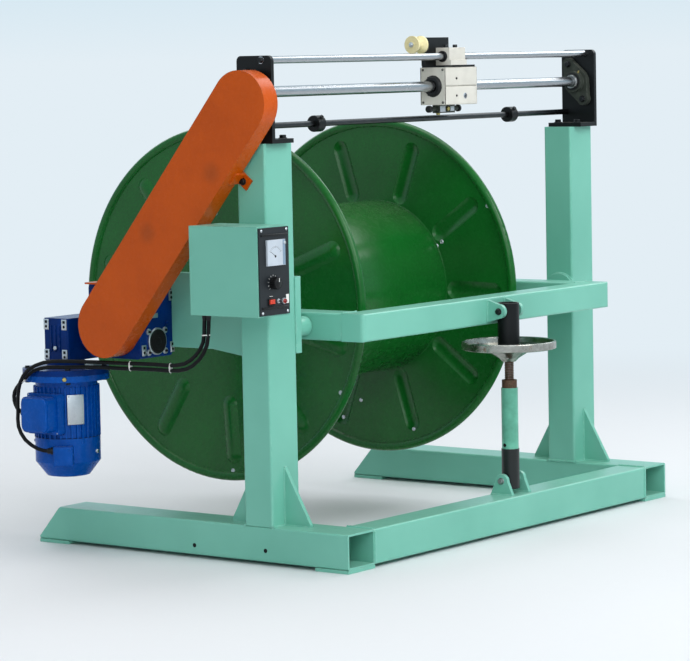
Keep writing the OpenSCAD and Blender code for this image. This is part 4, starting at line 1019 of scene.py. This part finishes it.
def buildTies(setup):
    bm = bmesh.new()
    half = setup["width"] / 2
    band = [(0, -half), (0.96, -half), (1.0, -half * 0.6), (1.0, half * 0.6), (0.96, half), (0, half)]
    for place, along, apart in setup["at"]:
        z = Vector(along).normalized()
        x = z.cross(Vector(apart)).normalized()
        axes = Matrix((x, z.cross(x), z)).transposed().to_4x4()
        turned(bm, band, Matrix.Translation(spot(*place)) @ axes @ toMetres, 20, setup["reach"])
    finishPiece("leadTies", bm, "whiteNylon", "frame")


buildTies(tieSetup)

guardSetup = {"tabBolt": 13.0, "front": (-679, -190.4, 864.0), "tabIn": 10, "tabAhead": 36, "tabThick": 4}


def buildGuardBolts(setup):
    bm = bmesh.new()
    hexBolt(bm, onto(setup["front"], (-1, 0, 0), 15), setup["tabBolt"])
    guard, box = span("chain_guard")[1], span("main_gearbox")[1]
    tab = (guard.x - setup["tabIn"], box.y - setup["tabAhead"], box.z + setup["tabThick"])
    hexBolt(bm, onto(tab, (0, 0, 1), 15), setup["tabBolt"])
    finishPiece("guardBolts", bm, "blackOxide", "frame")


buildGuardBolts(guardSetup)
print("drive done")


# control panel

panelSetup = {
    "screw": 5.2, "screwIn": (8.0, 6.0), "barIn": 16.5, "barShort": 12,
    "dialAt": (-4, -8), "dialR": 21, "dialMarks": 11, "needleAngle": 146, "meterScrewIn": (2.5, 8),
    "knobMarks": 11, "knobMarkR": 17, "grips": 18, "gripR": 13.0,
    # in from the switches' box, and fixed places on the panel
    "rockerIn": (8, 5), "lampIn": 5.0, "lampZ": 603.0, "toggle": (-717, 604),
    "label": (10.0, 20.0), "labelIn": 8, "labelZ": 607,
}


def buildPanel(setup):
    lo, hi = span("control_panel")
    front = lo.y
    caps, screws, darks, whites, reds, edge, grip, pointer = (bmesh.new() for _ in range(8))

    def onPanel(x, z, spin=0.0):
        return onto((x, front, z), (0, -1, 0), spin)

    for z in (hi.z - setup["barIn"], lo.z + setup["barIn"]):
        block(caps, (hi.x - lo.x - setup["barShort"], 5.0, 3.0), onPanel((lo.x + hi.x) / 2, z), 1.4, 3)
    inX, inZ = setup["screwIn"]
    for x in (lo.x + inX, hi.x - inX):
        for z in (lo.z + inZ, hi.z - inZ):
            panScrew(screws, onPanel(x, z, 25), setup["screw"])
    # meter: painted shade band at its right edge, scale, pointer with its pivot, adjusting screw
    mLo, mHi = span("panel_meter")
    card = onto(((mLo.x + mHi.x) / 2, mLo.y, (mLo.z + mHi.z) / 2), (0, -1, 0))
    block(edge, (9.0, mHi.z - mLo.z - 2, 0.5), shifted(card, (mHi.x - mLo.x) / 2 - 5.0, 0), 0.2, 1)
    dial = shifted(card, *setup["dialAt"])
    for k in range(setup["dialMarks"]):
        block(darks, (4.6 if k % 5 == 0 else 2.8, 0.7, 0.25),
              around(dial, setup["dialR"], math.radians(150 - 12 * k)), 0.0)
    block(darks, (20, 0.8, 0.4), around(dial, 9, math.radians(setup["needleAngle"])), 0.0)
    turned(darks, [(0, 1.2), (1.8, 1.1), (2.6, 0.4), (2.8, 0)], dial, 14)
    inX, inZ = setup["meterScrewIn"]
    turned(screws, [(0, 2.2), (3.0, 2.0), (3.8, 1.2), (4.0, 0)],
           onto((mHi.x - inX, mLo.y, mHi.z - inZ), (0, -1, 0)), 16)
    # marks round the knob
    knob = centre("panel_knob")
    for k in range(setup["knobMarks"]):
        block(whites, (3.0, 0.9, 0.25),
              around(onPanel(knob.x, knob.z), setup["knobMarkR"], math.radians(225 - 27 * k)), 0.0)
    # rocker frame, lamp, toggle, blank label
    sLo, sHi = span("panel_switches")
    inX, inZ = setup["rockerIn"]
    rocker = onPanel(sLo.x + inX, sLo.z + inZ)
    for s in (-1, 1):
        block(darks, (21, 2.6, 3.0), shifted(rocker, 0, s * 7.03), 0.6, 1)
        block(darks, (2.4, 15, 3.0), shifted(rocker, s * 10, 0), 0.6, 1)
    block(whites, (12, 1.0, 0.25), onPanel(sLo.x + inX, sHi.z + 7), 0.0)
    lamp = onPanel(sHi.x - setup["lampIn"], setup["lampZ"])
    turned(screws, [(5.1, 0), (5.1, 3.5), (6.8, 3.0), (7.4, 0)], lamp, 22)
    turned(reds, [(0, 3.6), (2.4, 3.2), (4.2, 1.8), (4.9, 0)], shifted(lamp, 0, 0, 5.6), 18)
    toggle = onPanel(*setup["toggle"])
    turned(screws, [(0, 2.6), (3.2, 2.6), (3.2, 1.4), (5.2, 1.2), (5.6, 0)], toggle, 18)
    turned(darks, [(0, 9), (1.2, 9), (2.0, 8.2), (1.6, 2.4), (0, 2.4)], toggle, 12)
    block(whites, (*setup["label"], 0.4), onPanel(hi.x - setup["labelIn"], setup["labelZ"]), 0.15, 1)
    finishPiece("panelBars", caps, "blackPlastic", "frame")
    finishPiece("panelScrews", screws, "brightZinc", "frame")
    finishPiece("panelMarks", darks, "blackPlastic", "frame")
    finishPiece("panelLabels", whites, "whiteNylon", "frame")
    finishPiece("meterEdgeShade", edge, "meterShadeBand", "frame")
    finishPiece("lampLens", reds, "lampLens", "frame")
    # knob: cap, grip ribs, pointer
    top = onto((knob.x, span("panel_knob")[0].y, knob.z), (0, -1, 0))
    turned(grip, [(0, 1.2), (8.5, 1.0), (9.5, 0.2), (9.5, -0.5)], top, 24)
    skirt = shifted(top, 0, 0, -13.5)
    for k in range(setup["grips"]):
        angle = math.tau * k / setup["grips"]
        block(grip, (1.8, 2.2, 12.5), around(skirt, setup["gripR"], angle), 0.5, 1)
    block(pointer, (1.8, 8.0, 1.0), shifted(top, 0, 7.0, 0.9), 0.3, 1)
    finishPiece("knobGrip", grip, "blackPlastic", "panel_knob")
    finishPiece("knobPointer", pointer, "whiteNylon", "panel_knob")


buildPanel(panelSetup)
print("panel done")


# jack: bolts, thread, rings, rolled rim of the handwheel

jackSetup = {
    "bolt": 12.5, "pinDown": 17, "threadPitch": 4.0, "threadBelow": 60.0, "rootR": 10.05, "crestR": 11.2,
    "rimThick": 3.0, "hubScrew": 9.0, "hubScrewAt": (-21, -9, 12), "hubScrewFacing": (-0.92, -0.4, 0),
}


def buildJack(setup):
    jack = centre("jack_sleeve")
    low, up, thread, rings, wheel = (bmesh.new() for _ in range(5))
    footLo, footHi = span("jack_base_ears")
    yokeLo, yokeHi = span("yoke_jack_ears")
    footY, yokeZ = centre("jack_base_ears").y, centre("yoke_jack_ears").z
    for way, foot, yoke in ((-1, footLo.x, yokeLo.x), (1, footHi.x, yokeHi.x)):
        hexBolt(low, onto((foot, footY, footHi.z - setup["pinDown"]), (way, 0, 0), 10), setup["bolt"])
        hexBolt(up, onto((yoke, jack.y, yokeZ), (way, 0, 0), 20), setup["bolt"])
    # screw thread between nut and hub
    root, crest, pitch = setup["rootR"], setup["crestR"], setup["threadPitch"]
    wheelLo, wheelHi = span("handwheel")
    z, profile = span("jack_nut")[1].z - setup["threadBelow"], []
    while z < wheelLo.z - 0.5:
        profile += [(root, z), (crest, z + pitch * 0.3), (crest, z + pitch * 0.55), (root, z + pitch * 0.85)]
        z += pitch
    turned(thread, profile, onto((jack.x, jack.y, 0), (0, 0, 1)), 24)
    sleeveLo, sleeveHi = span("jack_sleeve")
    r = (sleeveHi.x - sleeveLo.x) / 2
    turned(rings, [(r - 4.2, -1), (r - 4.0, 0.8), (r - 2, 1.2), (r - 0.4, 0.4), (r + 0.15, -1.2)],
           onto((jack.x, jack.y, sleeveHi.z), (0, 0, 1)), 40)
    loop(rings, r - 0.3, 1.0, onto((jack.x, jack.y, sleeveLo.z + 1.4), (0, 0, 1)), 40)
    rim = setup["rimThick"]
    loop(wheel, (wheelHi.x - wheelLo.x) / 2 - rim, rim,
         onto((jack.x, jack.y, wheelHi.z - 1.0), (0, 0, 1)), 64)
    dx, dy, dz = setup["hubScrewAt"]
    hexHead(wheel, setup["hubScrew"], 5.0,
            onto((jack.x + dx, jack.y + dy, wheelLo.z + dz), setup["hubScrewFacing"]))
    finishPiece("lowerJackBolts", low, "groundSteel", "frame")
    finishPiece("upperJackBolts", up, "blackOxide", "yoke")
    finishPiece("screwThread", thread, "rustedSteel", "jack_screw")
    finishPiece("sleeveRings", rings, "blackEnamel", "jack_sleeve")
    finishPiece("wheelRim", wheel, "wornSteel", "jack_screw")


buildJack(jackSetup)

# reel: hubs with bolts, weld beads, eyelets, and the caps on the yoke's arms
reelSetup = {
    "sheet": 5.0, "beadThick": 2.0, "hubR": 66.0, "hubBolt": 11.0, "hubBoltR": 57,
    "armBolt": 9.0, "armBoltR": 38, "eyeR": 5.0,
    # y and z of each eyelet in the flanges
    "leftEyes": ((172.3, 143.2), (207.0, 767.0), (-160.0, 350.0)),
    "rightEyes": ((1.7, 653.6), (-14.1, 664.6), (-155.8, 757.6), (309.8, 198.9), (251.5, 246.7),
                  (84.1, 180.4)),
}


def buildReel(setup):
    axis = centre("reel_shaft")
    bolts, hubs, eyes, caps, screws = (bmesh.new() for _ in range(5))

    def boltRing(bm, x, way, radius, angles, across):
        for a in (math.radians(angle) for angle in angles):
            seat = (x, axis.y + radius * math.cos(a), axis.z + radius * math.sin(a))
            hexBolt(bm, onto(seat, (way, 0, 0)), across)

    barrelLo, barrelHi = span("reel_barrel")
    sheet, hubR = setup["sheet"], setup["hubR"]
    for end, way in ((barrelLo.x, -1), (barrelHi.x, 1)):
        loop(hubs, (barrelHi.z - barrelLo.z) / 2 + 0.6, setup["beadThick"],
             onto((end, axis.y, axis.z), (way, 0, 0)), 96)
        x = end + way * sheet
        turned(hubs, [(30.2, 0), (30.2, 26), (44, 26), (48, 22), (48, 8), (hubR, 6), (hubR + 2, 0)],
               onto((x, axis.y, axis.z), (way, 0, 0)), 40)
        boltRing(bolts, x + way * 6.0, way, setup["hubBoltR"], range(15, 375, 60), setup["hubBolt"])
    r = setup["eyeR"]
    lipped = [(0, 0.6), (r * 0.66, 0.7), (r * 0.8, 1.4), (r, 1.0), (r + 0.6, 0)]
    for x, places in ((barrelLo.x - sheet, setup["leftEyes"]), (barrelHi.x, setup["rightEyes"])):
        for y, z in places:
            turned(eyes, lipped, onto((x, y, z), (-1, 0, 0)), 16)
    for arm, way in zip(span("yoke_arms"), (-1, 1)):
        turned(caps, [(31, 0), (31, 6), (44, 6), (47, 3.5), (47, 0)],
               onto((arm.x, axis.y, axis.z), (way, 0, 0)), 36)
        boltRing(screws, arm.x + way * 5.6, way, setup["armBoltR"], range(45, 405, 90), setup["armBolt"])
    finishPiece("reelBolts", bolts, "brightZinc", "reel")
    finishPiece("reelHubs", hubs, "reelEnamel", "reel")
    finishPiece("reelEyelets", eyes, "machinedAluminium", "reel")
    finishPiece("armCaps", caps, "mintEnamel", "yoke")
    finishPiece("armCapScrews", screws, "brightZinc", "yoke")


buildReel(reelSetup)
print("jack and reel done")


# floor, background and light

stageSetup = {
    "floor": "#DFE3E7",
    "floorR": 30.0,
    "fade": (1.2, 4.5),   # metres from the machine over which the floor turns into haze
    "sky": "#C3E0EE",
    "haze": "#E3EEF5",
    "ambient": 0.36,
    "aimZ": 550,
    "lamps": (
        ("frontSoftbox", (-600, -4200, 3600), 3.2, 136.0),
        ("leftSoftbox", (-4300, -2900, 2500), 3.0, 62.0),
        ("topSoftbox", (300, 600, 4600), 3.6, 70.0),
        ("rightSoftbox", (3300, -700, 3000), 2.4, 46.0),
        ("backSoftbox", (1800, 4200, 3000), 3.0, 40.0),
    ),
}


# the pale background is for rays from the camera, mirror-like faces and clear ones
def seenRays(tree):
    ray = addNode(tree, "ShaderNodeLightPath")
    total = ray.outputs["Is Camera Ray"]
    for kind in ("Is Glossy Ray", "Is Transmission Ray"):
        total = addNode(tree, "ShaderNodeMath", {"operation": "ADD", "use_clamp": True}, {
            0: total, 1: ray.outputs[kind]}).outputs[0]
    return total


def buildStage(setup):
    bm = bmesh.new()
    bmesh.ops.create_circle(bm, cap_ends=True, segments=96, radius=setup["floorR"])
    mesh = bpy.data.meshes.new("studioFloor")
    bm.to_mesh(mesh)
    bm.free()
    floor = bpy.data.objects.new("studioFloor", mesh)
    scene.collection.objects.link(floor)
    material, tree, shader = newFinish("paleFloor", {"Base Color": linear(setup["floor"])})
    # the lit floor fades into the background far from the machine
    here = addNode(tree, "ShaderNodeTexCoord").outputs["Object"]
    far = addNode(tree, "ShaderNodeVectorMath", {"operation": "LENGTH"}, {0: here})
    fade = addNode(tree, "ShaderNodeMapRange", {
        "interpolation_type": "SMOOTHSTEP", "From Min": setup["fade"][0], "From Max": setup["fade"][1]}, {
        "Value": far.outputs["Value"]})
    grain = addNode(tree, "ShaderNodeTexNoise", {"Scale": 30.0, "Detail": 3.0}, {"Vector": here})
    rough = addNode(tree, "ShaderNodeMapRange", {"To Min": 0.6, "To Max": 0.8}, {"Value": grain.outputs[0]})
    tree.links.new(rough.outputs[0], shader.inputs["Roughness"])
    glow = addNode(tree, "ShaderNodeEmission", {"Color": linear(setup["haze"]), "Strength": 1.0})
    share = addNode(tree, "ShaderNodeMath", {"operation": "MULTIPLY"}, {
        0: fade.outputs[0], 1: seenRays(tree)})
    both = addNode(tree, "ShaderNodeMixShader", None, {
        0: share.outputs[0], 1: shader.outputs[0], 2: glow.outputs[0]})
    out = next(n for n in tree.nodes if n.bl_idname == "ShaderNodeOutputMaterial")
    tree.links.new(both.outputs[0], out.inputs["Surface"])
    mesh.materials.append(material)

    world = bpy.data.worlds.new("studioWorld")
    scene.world = world
    world.use_nodes = True
    tree = world.node_tree
    tree.nodes.clear()
    here = addNode(tree, "ShaderNodeTexCoord").outputs["Generated"]
    way = addNode(tree, "ShaderNodeSeparateXYZ", None, {0: here})
    sky = addNode(tree, "ShaderNodeValToRGB", {"stops": [
        (0.0, linear(setup["haze"])), (0.06, linear(setup["sky"])), (1.0, linear(setup["haze"]))]}, {
        "Fac": way.outputs["Z"]})
    shown = addNode(tree, "ShaderNodeBackground", {"Strength": 1.0}, {"Color": sky.outputs[0]})
    fill = addNode(tree, "ShaderNodeBackground", {
        "Color": (1.0, 1.0, 1.0, 1.0), "Strength": setup["ambient"]})
    pick = addNode(tree, "ShaderNodeMixShader", None, {
        0: seenRays(tree), 1: fill.outputs[0], 2: shown.outputs[0]})
    addNode(tree, "ShaderNodeOutputWorld", None, {"Surface": pick.outputs[0]})

    for name, place, size, power in setup["lamps"]:
        data = bpy.data.lights.new(name, "AREA")
        data.shape = "DISK"
        data.size = size
        data.energy = power
        lamp = bpy.data.objects.new(name, data)
        scene.collection.objects.link(lamp)
        lamp.location = spot(*place)
        lamp.rotation_euler = (spot(0, 0, setup["aimZ"]) - lamp.location).to_track_quat("-Z", "Y").to_euler()


buildStage(stageSetup)
print("stage done")
